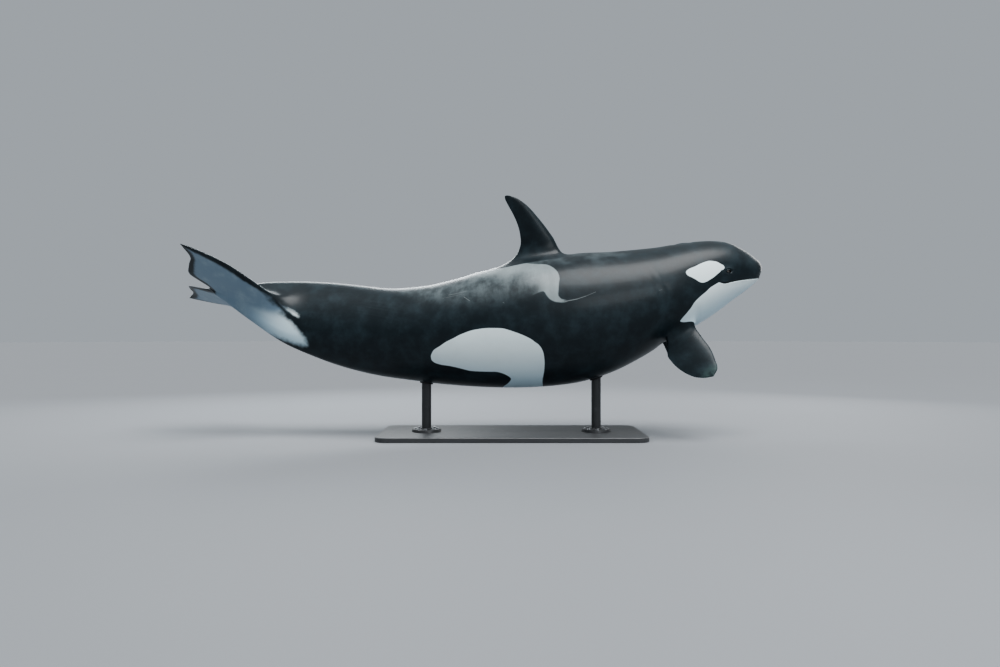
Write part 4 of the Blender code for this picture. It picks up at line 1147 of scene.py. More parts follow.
@dataclass(frozen=True)
class Blowhole:
    """The crescent nostril on top of the head, closed below."""

    patch: Patch
    # Distance of its middle, and radius of the crescent.
    at: float = 0.60
    radius: float = 0.038
    # Share of the way from the opening, half width of the crescent, its half angle, height.
    folds: Table = (
        (0.00, 0.026, 72, 0.0000), (0.25, 0.024, 72, 0.0000), (0.50, 0.022, 72, 0.0008),
        (0.75, 0.019, 71, 0.0022), (0.92, 0.016, 69, 0.0032), (1.00, 0.0125, 67, 0.0034),
        (1.00, 0.0090, 66, 0.0024), (1.00, 0.0062, 66, -0.0006), (1.00, 0.0050, 66, -0.0050),
        (1.00, 0.0042, 66, -0.0130), (1.00, 0.0034, 66, -0.0220),
    )
    fold_rings: int = 26

    def grow(self, hide: Hide, loop: Array, ni: int) -> None:
        """Fill an opening with the rim and the slit.

        Args:
            hide: The skin.
            loop: Numbers of the opening's points.
            ni: Cells along the body.
        """
        at, out = PLAN.point(self.at, 180.0), PLAN.outward(self.at, 180.0)
        back = unit(PLAN.point(self.at + 0.01, 180.0) - PLAN.point(self.at - 0.01, 180.0))
        left = np.cross(back, out)
        if left @ (PLAN.point(self.at, 184.0) - at) < 0:
            left = -left
        spot = Spot(at, back, left, out)
        start, marks = hide.at(loop)
        local = spot.local(start)
        angle = np.arctan2(local[:, 1], local[:, 0])
        cos, sin = np.cos(angle), np.sin(angle)
        tube = Tube(hide, loop, self.patch, self.fold_rings)
        for share, half, wide, high in ring_table(self.folds, self.fold_rings):
            turn = np.radians(wide) * sin
            r = self.radius + half * np.sign(cos) * np.abs(cos) ** 0.6
            slit = np.stack([r * np.cos(turn) - self.radius + 0.004, r * np.sin(turn)], -1)
            flat = local[:, :2] * (1 - share) + slit * share
            ring = np.column_stack([flat, dome(local, flat) + high])
            tube.lay(spot.world(ring), marks, 0.8 * max(0.0, 1 - share / 0.6))
        self.close(hide, tube.last, ni)

    def close(self, hide: Hide, loop: Array, ni: int) -> None:
        """Close the slit's bottom from its front side to its rear side.

        Args:
            hide: The skin.
            loop: Numbers of the last ring.
            ni: Cells along the body.
        """
        n = len(loop)
        tip = ni // 2
        place = self.patch.place(0.5, 1.0)
        for k in range(n // 2):
            a, b = (tip + k) % n, (tip + k + 1) % n
            c, d = (tip - k - 1) % n, (tip - k) % n
            corners = list(dict.fromkeys((a, b, c, d)))
            if len(corners) < 3:
                continue
            hide.faces.append(tuple(int(loop[i]) for i in corners))
            spots = ((0, 0), (0.0005, 0), (0.0005, 0.0005), (0, 0.0005))
            hide.sheet.append(np.array([place + np.array(q) for q in spots[: len(corners)]]))


@dataclass
class Orca:
    """The whole animal's skin, with its fins, the lids of its eyes and its blowhole."""

    # Distances of the grid's rings and angles of its columns, as values and the steps to the next.
    front_rings: int = 20
    rings: tuple[tuple[float, int], ...] = (
        (0.09, 22), (0.272, 15), (0.394, 18), (0.54, 15), (0.66, 5), (0.70, 28), (0.98, 28), (1.40, 13),
        (1.66, 34), (2.34, 33), (3.00, 40), (3.75, 20), (4.16, 37), (4.90, 4), (4.97, 0),
    )
    columns_below: tuple[tuple[float, int], ...] = ((0, 6), (24, 12), (52, 5), (64, 7), (76, 0))
    columns_above: tuple[tuple[float, int], ...] = (
        (86, 4), (91, 12), (106, 9), (125, 6), (147, 6), (169, 5), (180, 0),
    )
    # Columns close to the mouth line, as angles from it.
    mouth_columns: tuple[float, ...] = (0.2, 0.5, 0.95, 1.5, 2.3, 3.4)
    crease_depth: float = 0.0075
    crease_width: float = 0.0030
    lip_height: tuple[float, float] = (0.0034, 0.0022)
    lip_at: float = 0.010
    lip_width: float = 0.007
    # Where the drawn line of the mouth ends, and how many points it has on each side.
    mouth_end: float = 0.44
    mouth_steps: int = 260
    # In how many parts the skin is measured against that line, to spare memory.
    mouth_parts: int = 12
    # Skin that the lips can move: up to a distance and this many degrees off the line, or the very front.
    lips_end: float = 0.47
    lips_front: float = 0.03
    lips_reach: float = 30.0
    # How far along the mouth line the crease keeps its depth: distance and share.
    crease_fade: Table = ((0.0, 1.0), (0.33, 1.0), (0.375, 0.9), (0.41, 0.55), (0.44, 0.0), (0.6, 0.0))
    # Folds of the neck: distance, depth, lean in metres per degree.
    neck_folds: Table = ((0.90, 0.0012, 0.0016), (0.975, 0.0009, 0.0011))
    # Ripples of the bent tail: distance and angle of their middle, height, and gap from one to the next.
    ripple_at: float = 3.42
    ripple_angle: float = 118.0
    ripple_high: float = 0.0017
    ripple_gap: float = 0.030
    # Openings of the grid as first and last distance and angle: dorsal fin, flippers, flukes, eyes, blowhole.
    openings: Table = (
        (1.66, 2.34, 169, 191), (0.70, 0.98, 24, 52), (0.70, 0.98, 308, 336), (4.16, 4.90, 52, 125),
        (4.16, 4.90, 235, 308), (0.272, 0.394, 91, 106), (0.272, 0.394, 254, 269), (0.54, 0.66, 169, 191),
    )
    # For each opening, how many cells around it are smoothed, and how much.
    opening_ease: Table = ((7, 1), (8, 1), (8, 1), (6, 1), (6, 1), (3, 0.8), (3, 0.8), (3, 0.8))
    ease_rounds: int = 110
    # Rings at the very end of the body that are smoothed too.
    end_rings: int = 5
    # Height of the back's line on the texture sheet, and where the line starts and ends.
    sheet_middle: float = 0.35
    sheet_ends: tuple[float, float] = (0.004, 0.994)
    hide: Hide = field(default_factory=Hide)
    dorsal: DorsalFin = DorsalFin()
    flippers: tuple[Flipper, ...] = (
        Flipper(
            Side.RIGHT,
            (1.530, -0.240, 0.047),
            (0.50, -0.50, -0.70),
            (-0.81, 0.0, -0.58),
            Patch(0.16, 0.71, 0.31, 0.93),
        ),
        Flipper(
            Side.LEFT,
            (1.580, 0.240, 0.060),
            (0.93, 0.47, -0.69),
            (-0.62, -0.06, -0.51),
            Patch(0.32, 0.71, 0.47, 0.93),
        ),
    )
    flukes: tuple[Fluke, ...] = (
        Fluke(Side.RIGHT, 7.0, Patch(0.48, 0.71, 0.73, 0.93)),
        Fluke(Side.LEFT, 11.0, Patch(0.74, 0.71, 0.99, 0.93), bulge=0.040, curl=0.020),
    )
    sockets: tuple[Socket, ...] = (
        Socket(Side.RIGHT, Patch(0.01, 0.94, 0.20, 0.99)),
        Socket(Side.LEFT, Patch(0.21, 0.94, 0.40, 0.99)),
    )
    blowhole: Blowhole = Blowhole(Patch(0.41, 0.94, 0.60, 0.99))

    def row_values(self) -> Array:
        """Return the distance of every ring, closer together round the blunt front."""
        front = np.linspace(0.036, math.sqrt(self.rings[0][0]), self.front_rings, endpoint=False) ** 2
        return np.concatenate([front, spread(self.rings)])

    def column_values(self) -> Array:
        """Place the columns, all the way round.

        Returns:
            Their angles.
        """
        near = np.array(self.mouth_columns)
        middle = PLAN.mouth_column
        line = np.concatenate([middle - near[::-1], [middle], middle + near])
        right = np.concatenate([spread(self.columns_below), line, spread(self.columns_above)])
        return np.concatenate([right, 360 - right[-2:0:-1]])

    def mouth_line(self) -> tuple[Array, Array]:
        """Draw the mouth from right to left.

        Returns:
            Its points, and the crease's share of its depth at each.
        """
        rows = np.linspace(0.0, self.mouth_end, self.mouth_steps)
        low, keep = curve(PLAN.mouth, rows)[:, 0], curve(self.crease_fade, rows)[:, 0]
        line = np.concatenate([PLAN.point(rows, low)[::-1], PLAN.point(rows, 360 - low)])
        return line, np.concatenate([keep[::-1], keep])

    def mouth_relief(self, s: Array, t: Array, points: Array) -> Array:
        """Shape the lips and the crease between them.

        Args:
            s: Distances along the body.
            t: Angles from the belly, in degrees.
            points: Points of the skin.

        Returns:
            How far each point moves outwards.
        """
        line, keep = self.mouth_line()
        flat, rows, around = points.reshape(-1, 3), s.ravel(), from_belly(t).ravel()
        beside = np.abs(around - PLAN.mouth_column) < self.lips_reach
        near = (rows < self.lips_end) & beside | (rows < self.lips_front)
        relief = np.zeros(len(flat))
        for part in np.array_split(np.nonzero(near)[0], self.mouth_parts):
            gap = np.linalg.norm(flat[part][:, None, :] - line[None], axis=-1)
            best = gap.argmin(1)
            x = gap[np.arange(len(part)), best]
            above = around[part] > curve(PLAN.mouth, rows[part])[:, 0]
            lip = np.where(above, *self.lip_height)
            lips = lip * bell(x - self.lip_at, self.lip_width) * (1 - bell(x, self.lip_width * 0.6))
            relief[part] = keep[best] * (lips - self.crease_depth * bell(x, self.crease_width))
        return relief.reshape(s.shape)

    def fold_relief(self, s: Array, around: Array) -> Array:
        """Shape the folds of the neck and the ripples of the bent tail.

        Args:
            s: Distances along the body.
            around: Angles from the belly, in degrees.

        Returns:
            How far each point moves outwards.
        """
        neck = 0.0
        for at, depth, lean in self.neck_folds:
            line = s - at - lean * (around - 100)
            neck = neck - depth * bell(line, 0.018) + 0.5 * depth * bell(line - 0.036, 0.022)
        neck = neck * smooth(56, 86, around) * (1 - smooth(112, 146, around))
        off = s - self.ripple_at
        arc = (around - self.ripple_angle) * math.radians(1) * 0.36 + 0.30 * off**2
        ripple = self.ripple_high * np.cos(arc * 2 * math.pi / self.ripple_gap)
        return neck + ripple * bell(off, 0.24) * bell(arc, 0.070)

    def cells(self, rows: Array, columns: Array) -> list[tuple[int, int, int, int]]:
        """Find the openings in the grid.

        Args:
            rows: Distances of the rings.
            columns: Angles of the columns.

        Returns:
            First and last row and column of each.
        """
        found = []
        for s0, s1, t0, t1 in self.openings:
            i0, i1 = (int(np.argmin(np.abs(rows - s))) for s in (s0, s1))
            j0, j1 = (int(np.argmin(np.abs(columns - t))) for t in (t0, t1))
            found.append((i0, i1, j0, j1))
        return found

    def grid_ease(self, holes: list[tuple[int, int, int, int]], shape: tuple[int, int]) -> Array:
        """Share out the later smoothing, which fades away from the openings.

        Args:
            holes: The openings.
            shape: The grid's size.

        Returns:
            Share of each grid point.
        """
        i, j = np.indices(shape)
        ease = np.zeros(shape)
        for (i0, i1, j0, j1), (reach, most) in zip(holes, self.opening_ease):
            off_i = np.maximum(np.maximum(i0 - i, i - i1), 0)
            off_j = np.maximum(np.maximum(j0 - j, j - j1), 0)
            ease = np.maximum(ease, most * (1 - smooth(0, reach, np.hypot(off_i, off_j))))
        return ease

    def fill(self, holes: list[tuple[int, int, int, int]], number: Array, st: Array) -> None:
        """Grow every fin, socket and nostril from its opening.

        Args:
            holes: The openings.
            number: Numbers of the grid points.
            st: Their distances and angles.
        """
        loops = []
        for i0, i1, j0, j1 in holes:
            ij = [(i, j1) for i in range(i0, i1 + 1)]
            ij += [(i1, j) for j in range(j1 - 1, j0, -1)]
            ij += [(i, j0) for i in range(i1, i0 - 1, -1)]
            ij += [(i0, j) for j in range(j0 + 1, j1)]
            at = tuple(np.array(ij).T)
            loops.append((number[at], st[at], i1 - i0, j1 - j0))
        fins = [self.dorsal.fin()] + [fin.fin() for fin in (*self.flippers, *self.flukes)]
        for fin, opening in zip(fins, loops):
            fin.grow(self.hide, *opening)
        for socket, opening in zip(self.sockets, loops[5:7]):
            socket.grow(self.hide, opening[0], opening[1])
        loop, _, ni, _ = loops[7]
        self.blowhole.grow(self.hide, loop, ni)

    def sheet_place(self, s: Array, t: Array) -> Array:
        """Unroll places of the body along the back.

        Args:
            s: Distances along the body.
            t: Angles from the belly, in degrees.

        Returns:
            Places on the texture sheet.
        """
        girth = curve(tuple((row[0], row[1] + row[2] + 2 * row[3]) for row in PLAN.section), s)[:, 0]
        wide = 0.03 + 0.30 * girth / 2.2
        across = self.sheet_middle + wide * (np.asarray(t) - 180) / 180
        return np.stack([0.01 + 0.98 * np.asarray(s) / PLAN.notch, across], -1)

    def skin(self) -> bpy.types.Object:
        """Build the skin.

        Returns:
            Its object.
        """
        rows, columns = self.row_values(), self.column_values()
        count = len(columns)
        s = np.repeat(rows[:, None], count, 1)
        t = PLAN.warped(s, columns[None])
        around = from_belly(t)
        points = PLAN.point(s, t)
        relief = self.mouth_relief(s, t, points) + self.fold_relief(s, around)
        points = points + PLAN.outward(s, t) * relief[..., None]
        marks = body_marks(s.ravel(), around.ravel(), points.reshape(-1, 3))
        holes = self.cells(rows, columns)
        ease = self.grid_ease(holes, s.shape)
        ease[-self.end_rings :] = 1
        number = self.hide.add(points, marks, ease).reshape(len(rows), count)
        self.fill(holes, number, np.stack([s, t], -1))
        solid = np.ones((len(rows) - 1, count), bool)
        for i0, i1, j0, j1 in holes:
            solid[i0:i1, j0:j1] = False
        wrapped = np.column_stack([t, t[:, :1] + 360])
        places = [self.sheet_place(np.full(count + 1, row), wide) for row, wide in zip(rows, wrapped)]
        sheet = np.stack(places)
        for i, j in zip(*np.nonzero(solid)):
            k = (j + 1) % count
            self.hide.faces.append((number[i, j], number[i, k], number[i + 1, k], number[i + 1, j]))
            corners = (sheet[i, j], sheet[i, j + 1], sheet[i + 1, j + 1], sheet[i + 1, j])
            self.hide.sheet.append(np.array(corners))
        tip_at = PLAN.point(0.0, 90.0) - PLAN.outward(0.006, 88.0) * self.crease_depth
        front = self.hide.add(tip_at, body_marks(np.array([0.0]), np.array([88.0]), tip_at[None]))[0]
        end = self.hide.add(PLAN.one_ring(PLAN.notch)[0], marks[-1])[0]
        for ring, point, along in zip((number[0], number[-1]), (front, end), self.sheet_ends):
            self.hide.fan(ring, point, np.array((along, self.sheet_middle)))
        return add_piece("skin", self.hide.mesh("skin", self.ease_rounds))


def add_piece(name: str, mesh: bpy.types.Mesh) -> bpy.types.Object:
    """Link a new object at the origin.

    Args:
        name: Its name.
        mesh: Its mesh.

    Returns:
        The object.
    """
    made = bpy.data.objects.new(name, mesh)
    bpy.context.scene.collection.objects.link(made)
    return made


class Wire:
    """A shader socket that can be used in Python expressions; each operator adds a Math node."""

    def __init__(self, tree: NodeTree, socket: bpy.types.NodeSocket) -> None:
        """Wrap a socket of a tree."""
        self.tree = tree
        self.socket = socket

    def math(self, operation: str, *others: Value, clamp: bool = False) -> Wire:
        """Return a Math node's result for this socket and others."""
        settings = {"operation": operation, "use_clamp": clamp}
        return self.tree.node("ShaderNodeMath", settings, dict(enumerate((self, *others))))

    def __add__(self, other: Value) -> Wire:
        """Return the sum."""
        return self.math("ADD", other)

    __radd__ = __add__

    def __mul__(self, other: Value) -> Wire:
        """Return the product."""
        return self.math("MULTIPLY", other)

    __rmul__ = __mul__

    def __sub__(self, other: Value) -> Wire:
        """Return the difference."""
        return self.math("SUBTRACT", other)

    def __rsub__(self, other: Value) -> Wire:
        """Return the difference from another value."""
        return self.tree.node("ShaderNodeMath", {"operation": "SUBTRACT"}, {0: other, 1: self})

    def __truediv__(self, other: Value) -> Wire:
        """Return the quotient."""
        return self.math("DIVIDE", other)

    def __pow__(self, other: Value) -> Wire:
        """Return the power."""
        return self.math("POWER", other)

    def clamped(self) -> Wire:
        """Return the value held between 0 and 1."""
        return self.math("ADD", 0.0, clamp=True)

    def ramp(self, low: float, high: float) -> Wire:
        """Return an eased step from 0 at low to 1 at high."""
        inputs = {"Value": self, "From Min": low, "From Max": high}
        return self.tree.node("ShaderNodeMapRange", {"interpolation_type": "SMOOTHSTEP"}, inputs)


Value = Wire | float


class NodeTree:
    """A material's nodes, made from short calls."""

    def __init__(self, name: str) -> None:
        """Add a material that holds a shader and an output.

        Args:
            name: Its name.
        """
        self.material = bpy.data.materials.new(name)
        self.material.use_nodes = True
        self.nodes = self.material.node_tree.nodes
        self.links = self.material.node_tree.links
        self.shader = self.nodes["Principled BSDF"]

    def node(
        self,
        kind: str,
        settings: dict[str, Any] | None = None,
        inputs: dict[Any, Any] | None = None,
        output: Any = 0,
    ) -> Wire:
        """Add a node.

        Args:
            kind: The node's type.
            settings: Its properties, or under "stops" a ramp's positions and colours, set before the sockets.
            inputs: Values or wires by the socket's name or number.
            output: The name or number of the socket to return.

        Returns:
            The chosen output.
        """
        made = self.nodes.new(kind)
        for name, value in (settings or {}).items():
            if name == "stops":
                self.set_stops(made.color_ramp, value)
            else:
                setattr(made, name, value)
        for name, value in (inputs or {}).items():
            self.feed(made.inputs[name], value)
        return Wire(self, made.outputs[output])

    @staticmethod
    def set_stops(ramp: bpy.types.ColorRamp, stops: tuple[tuple[float, tuple[float, ...]], ...]) -> None:
        """Give a colour ramp its stops.

        Args:
            ramp: The ramp.
            stops: Positions and colours.
        """
        while len(ramp.elements) > 1:
            ramp.elements.remove(ramp.elements[-1])
        for k, (position, colour) in enumerate(stops):
            element = ramp.elements[0] if k == 0 else ramp.elements.new(position)
            element.position = position
            element.color = (*colour, 1)

    def feed(self, socket: bpy.types.NodeSocket, value: Any) -> None:
        """Give a socket its input.

        Args:
            socket: The socket.
            value: A wire to link, or a value to set.
        """
        if isinstance(value, Wire):
            self.links.new(value.socket, socket)
        elif isinstance(value, tuple) and len(value) == 3 and socket.type == "RGBA":
            socket.default_value = (*value, 1)
        else:
            socket.default_value = value

    def attribute(self, name: str) -> Wire:
        """Return one of the mesh's own values."""
        return self.node("ShaderNodeAttribute", {"attribute_name": name}, output="Fac")

    def place(self, scale: Triple = (1, 1, 1), turn: Triple = (0, 0, 0)) -> Wire:
        """Return the place in metres, turned and scaled."""
        where = self.node("ShaderNodeTexCoord", output="Object")
        return self.node("ShaderNodeMapping", {}, {"Vector": where, "Scale": scale, "Rotation": turn})

    def noise(self, where: Wire, scale: float, detail: float = 4.0, rough: float = 0.55) -> Wire:
        """Return noise between 0 and 1."""
        inputs = {"Vector": where, "Scale": scale, "Detail": detail, "Roughness": rough}
        return self.node("ShaderNodeTexNoise", {}, inputs)

    def mix(self, share: Value, first: Any, second: Any) -> Wire:
        """Mix two colours.

        Args:
            share: Share of the second.
            first: A colour or wire.
            second: A colour or wire.

        Returns:
            The mix.
        """
        made = self.nodes.new("ShaderNodeMix")
        made.data_type = "RGBA"
        self.feed(made.inputs["Factor"], share)
        self.feed(made.inputs[6], first)
        self.feed(made.inputs[7], second)
        return Wire(self, made.outputs[2])

    def bump(self, height: Wire, distance: float, strength: float = 1.0) -> Wire:
        """Return the normal of a surface raised by a height over a distance."""
        inputs = {"Height": height, "Distance": distance, "Strength": strength}
        return self.node("ShaderNodeBump", {}, inputs, "Normal")

    def surface(self, **values: Any) -> bpy.types.Material:
        """Feed the shader's sockets and return the material.

        Args:
            **values: Values or wires by the socket's name, with _ for a space.

        Returns:
            The finished material.
        """
        for name, value in values.items():
            self.feed(self.shader.inputs[name.replace("_", " ").title().replace("Ior", "IOR")], value)
        return self.material


def times(share: float, colour: Triple) -> Triple:
    """Return a colour made lighter or darker."""
    return tuple(share * q for q in colour)


@dataclass(frozen=True)
class SkinFinish:
    """Wet, smooth skin: black above, white patches, grey saddle, with scars and fine folds; painted shade
    darkens the whites towards the belly and on the tail, and painted light pales the back before the fin and
    the flippers' tips.
    """

    black: Triple = (0.0085, 0.0145, 0.0185)
    black_worn: Triple = (0.020, 0.034, 0.042)
    white: Triple = (0.76, 0.86, 0.88)
    # Painted shade: the bluer, darker white towards the belly.
    white_painted_shade: Triple = (0.47, 0.64, 0.74)
    # Painted shade of the white underside of the tail and the flukes.
    fluke_painted_shade: Triple = (0.17, 0.245, 0.32)
    grey: Triple = (0.25, 0.29, 0.30)
    # Dim grey of the cloud behind the saddle, also the colour of the painted sheen in front of the fin.
    cloud: Triple = (0.125, 0.15, 0.158)
    # Painted light on the flippers' tips.
    flipper_painted_light: Triple = (0.075, 0.125, 0.115)
    scar: Triple = (0.16, 0.18, 0.185)
    rough: float = 0.33
    shine: float = 0.26
    coat: float = 0.05
    # Single pale lines: two ends as distance and angle, half width in metres, strength.
    scratches: Table = (
        (1.775, 110.8, 1.67, 111.4, 0.0040, 1.0), (1.67, 111.4, 1.59, 113.0, 0.0034, 0.8),
        (1.59, 113.0, 1.50, 115.4, 0.0028, 0.55),
        (2.583, 137.6, 2.748, 136.0, 0.0030, 0.9),
        (2.62, 134.6, 2.80, 132.4, 0.0022, 0.6),
        (2.60, 136.3, 2.71, 135.2, 0.0018, 0.6),
        (2.563, 124.5, 2.612, 130.5, 0.0034, 0.9),
        (0.945, 100.0, 0.972, 100.4, 0.0036, 0.3),
        (2.274, 117.0, 2.286, 118.0, 0.0030, 0.6),
    )

    def scratch(self, tree: NodeTree, line: tuple[float, ...], girth: float = 0.42) -> Wire:
        """Draw one straight scratch.

        Args:
            tree: The material's nodes.
            line: A row of the scratches.
            girth: Metres of skin to a radian.

        Returns:
            Its mask.
        """
        s0, a0, s1, a1, half, strength = line
        v0, v1 = math.radians(a0) * girth, math.radians(a1) * girth
        long = math.hypot(s1 - s0, v1 - v0)
        du, dv = (s1 - s0) / long, (v1 - v0) / long
        along = tree.attribute(Mark.ALONG.value) - s0
        around = tree.attribute(Mark.AROUND.value) * (math.radians(1) * girth) - v0
        down = along * du + around * dv
        off = (along * dv - around * du).math("ABSOLUTE")
        ends_in = (down.math("ABSOLUTE") + (down - long).math("ABSOLUTE") - long) * 2.0
        return (off + ends_in).ramp(half, half * 0.2) * strength

    def make(self) -> bpy.types.Material:
        """Make the material.

        Returns:
            The finished material.
        """
        tree = NodeTree("orca_skin")
        where = tree.place()
        broad, fine = tree.noise(where, 2.2, 5.0), tree.noise(where, 26.0, 4.0)
        mottle = tree.noise(where, 7.0, 5.0, 0.6)
        wisps = tree.noise(tree.place((9.0, 4.0, 3.0), (0.0, 0.5, 0.0)), 1.6, 6.0, 0.62)
        ragged = (broad - 0.5) * 1.6 + (fine - 0.5) * 1.2
        white = (tree.attribute(Mark.WHITE.value) + ragged).ramp(-1.0, 1.0)
        black = tree.mix(mottle.ramp(0.36, 0.78), self.black, self.black_worn)
        # The grey cloud behind the saddle, and the painted sheen in front of the fin.
        black = tree.mix(self.cloud_and_painted_sheen(tree, mottle, wisps), black, self.cloud)
        # Painted light: the flipper's tip is paled in mottled spots where it catches the light.
        lit_tips = tree.attribute(Mark.FLIPPER.value).ramp(0.62, 1.0) * mottle.ramp(0.48, 0.70)
        black = tree.mix(lit_tips * 0.75, black, self.flipper_painted_light)
        edge = (tree.attribute(Mark.GREY.value) + ragged * 0.4).ramp(-1.0, 1.0)
        fade = (tree.attribute(Mark.FADE.value) + (mottle - 0.5) * 1.4).ramp(-1.4, 1.2)
        saddle = tree.mix(wisps.ramp(0.30, 0.72), times(0.80, self.grey), self.grey)
        black = tree.mix(edge * fade, black, saddle)
        for line in self.scratches:
            black = tree.mix(self.scratch(tree, line), black, self.scar)
        # Painted shade: the whites turn bluer and darker from the flank down to the belly.
        low = tree.attribute(Mark.AROUND.value).ramp(78.0, 30.0)
        pale = tree.mix(low * 0.8, self.white, self.white_painted_shade)
        # Painted shade: the tail's white darkens towards the flukes, and the flukes' undersides are dark all
        # over.
        pale = tree.mix(tree.attribute(Mark.ALONG.value).ramp(4.08, 4.62) * 0.95, pale, self.fluke_painted_shade)
        pale = tree.mix(mottle.ramp(0.45, 0.8) * 0.22, pale, times(0.8, self.white))
        rough = self.rough + 0.14 * mottle + 0.08 * white
        pores = tree.noise(where, 160.0, 3.0, 0.6)
        folds = tree.noise(tree.place((2.0, 2.0, 6.0), (0.0, 0.2, 0.0)), 2.0, 4.0, 0.5)
        return tree.surface(
            base_color=tree.mix(white, black, pale),
            roughness=rough.clamped(),
            specular_ior_level=self.shine,
            coat_weight=self.coat,
            coat_roughness=0.12,
            normal=tree.bump(pores * 0.10 + folds * 0.7, 0.0018, 0.45),
        )

    def cloud_and_painted_sheen(self, tree: NodeTree, mottle: Wire, wisps: Wire) -> Wire:
        """Cloud the back behind the saddle with a dim grey, and paint a sheen of that grey in front of the
        fin.

        Args:
            tree: The material's nodes.
            mottle: Fine noise.
            wisps: Drawn-out noise.

        Returns:
            Its mask.
        """
        behind = tree.attribute(Mark.CLOUD.value).ramp(-1.3, 1.3)
        # Painted sheen in front of the fin, in mottled spots.
        ahead = tree.attribute(Mark.SHEEN.value).ramp(-1.2, 1.2) * mottle.ramp(0.38, 0.72) * 0.40
        clouds = behind * (0.25 + 0.75 * (mottle * 0.5 + wisps * 0.5).ramp(0.38, 0.64))
        return clouds.math("MAXIMUM", ahead).clamped()


@dataclass(frozen=True)
class EyeFinish:
    """A wet, dark brown eye with a dark pupil."""

    pupil: Triple = (0.004, 0.004, 0.006)
    iris: Triple = (0.045, 0.022, 0.010)
    rim: Triple = (0.012, 0.008, 0.007)
    white: Triple = (0.16, 0.10, 0.085)

    def make(self) -> bpy.types.Material:
        """Make the material.

        Returns:
            The finished material.
        """
        tree = NodeTree("orca_eye")
        gaze = tree.attribute("gaze")
        spokes = tree.noise(tree.place((1, 1, 1)), 420.0, 3.0)
        stops = (
            (0.0, self.pupil), (0.118, self.pupil), (0.132, self.iris), (0.235, times(0.5, self.iris)),
            (0.262, self.rim), (0.31, self.rim), (0.36, self.white),
        )
        ragged = gaze + (spokes - 0.5) * 0.012
        colour = tree.node("ShaderNodeValToRGB", {"stops": stops}, {0: ragged}, "Color")
        return tree.surface(
            base_color=colour,
            roughness=(0.05 + 0.05 * spokes).clamped(),
            coat_weight=1.0,
            coat_roughness=0.03,
            normal=tree.bump(spokes, 0.0002, 0.3),
        )


@dataclass(frozen=True)
class PaintFinish:
    """Satin paint over steel, with an orange-peel surface and slightly rubbed patches."""

    name: str
    colour: Triple = (0.050, 0.052, 0.056)
    worn: Triple = (0.085, 0.088, 0.092)
    rough: float = 0.42
    metal: float = 0.25

    def make(self) -> bpy.types.Material:
        """Make the material.

        Returns:
            The finished material.
        """
        tree = NodeTree(self.name)
        where = tree.place()
        clouds, peel = tree.noise(where, 3.0, 5.0), tree.noise(where, 330.0, 2.0)
        rubbed = tree.noise(where, 14.0, 6.0, 0.65).ramp(0.56, 0.78)
        return tree.surface(
            base_color=tree.mix((clouds * 0.5 + rubbed * 0.5).clamped(), self.colour, self.worn),
            roughness=(self.rough + 0.12 * (clouds - 0.5) - 0.08 * rubbed).clamped(),
            metallic=self.metal,
            normal=tree.bump(peel, 0.0004, 0.5),
        )


@dataclass(frozen=True)
class BareSteelFinish:
    """Bright turned steel of the bolts."""

    colour: Triple = (0.52, 0.53, 0.55)

    def make(self) -> bpy.types.Material:
        """Make the material.

        Returns:
            The finished material.
        """
        tree = NodeTree("bolt_steel")
        brushed = tree.noise(tree.place((1, 1, 6)), 120.0, 4.0)
        return tree.surface(
            base_color=tree.mix(brushed, times(0.7, self.colour), self.colour),
            roughness=(0.28 + 0.16 * brushed).clamped(),
            metallic=1.0,
            normal=tree.bump(brushed, 0.0002, 0.4),
        )


@dataclass(frozen=True)
class RubberFinish:
    """Matt black rubber of the collars between the rods and the belly."""

    colour: Triple = (0.022, 0.022, 0.024)

    def make(self) -> bpy.types.Material:
        """Make the material.

        Returns:
            The finished material.
        """
        tree = NodeTree("collar_rubber")
        grain = tree.noise(tree.place(), 240.0, 4.0)
        return tree.surface(
            base_color=tree.mix(grain, self.colour, times(1.6, self.colour)),
            roughness=(0.62 + 0.2 * grain).clamped(),
            normal=tree.bump(grain, 0.0005, 0.6),
        )


@dataclass(frozen=True)
class FloorFinish:
    """Plain pale floor."""

    colour: Triple = (0.222, 0.233, 0.248)

    def make(self) -> bpy.types.Material:
        """Make the material.

        Returns:
            The finished material.
        """
        tree = NodeTree("floor_plain")
        soft = tree.noise(tree.place(), 0.6, 3.0)
        return tree.surface(
            base_color=tree.mix(soft, times(0.97, self.colour), self.colour),
            roughness=0.75,
            specular_ior_level=0.2,
        )


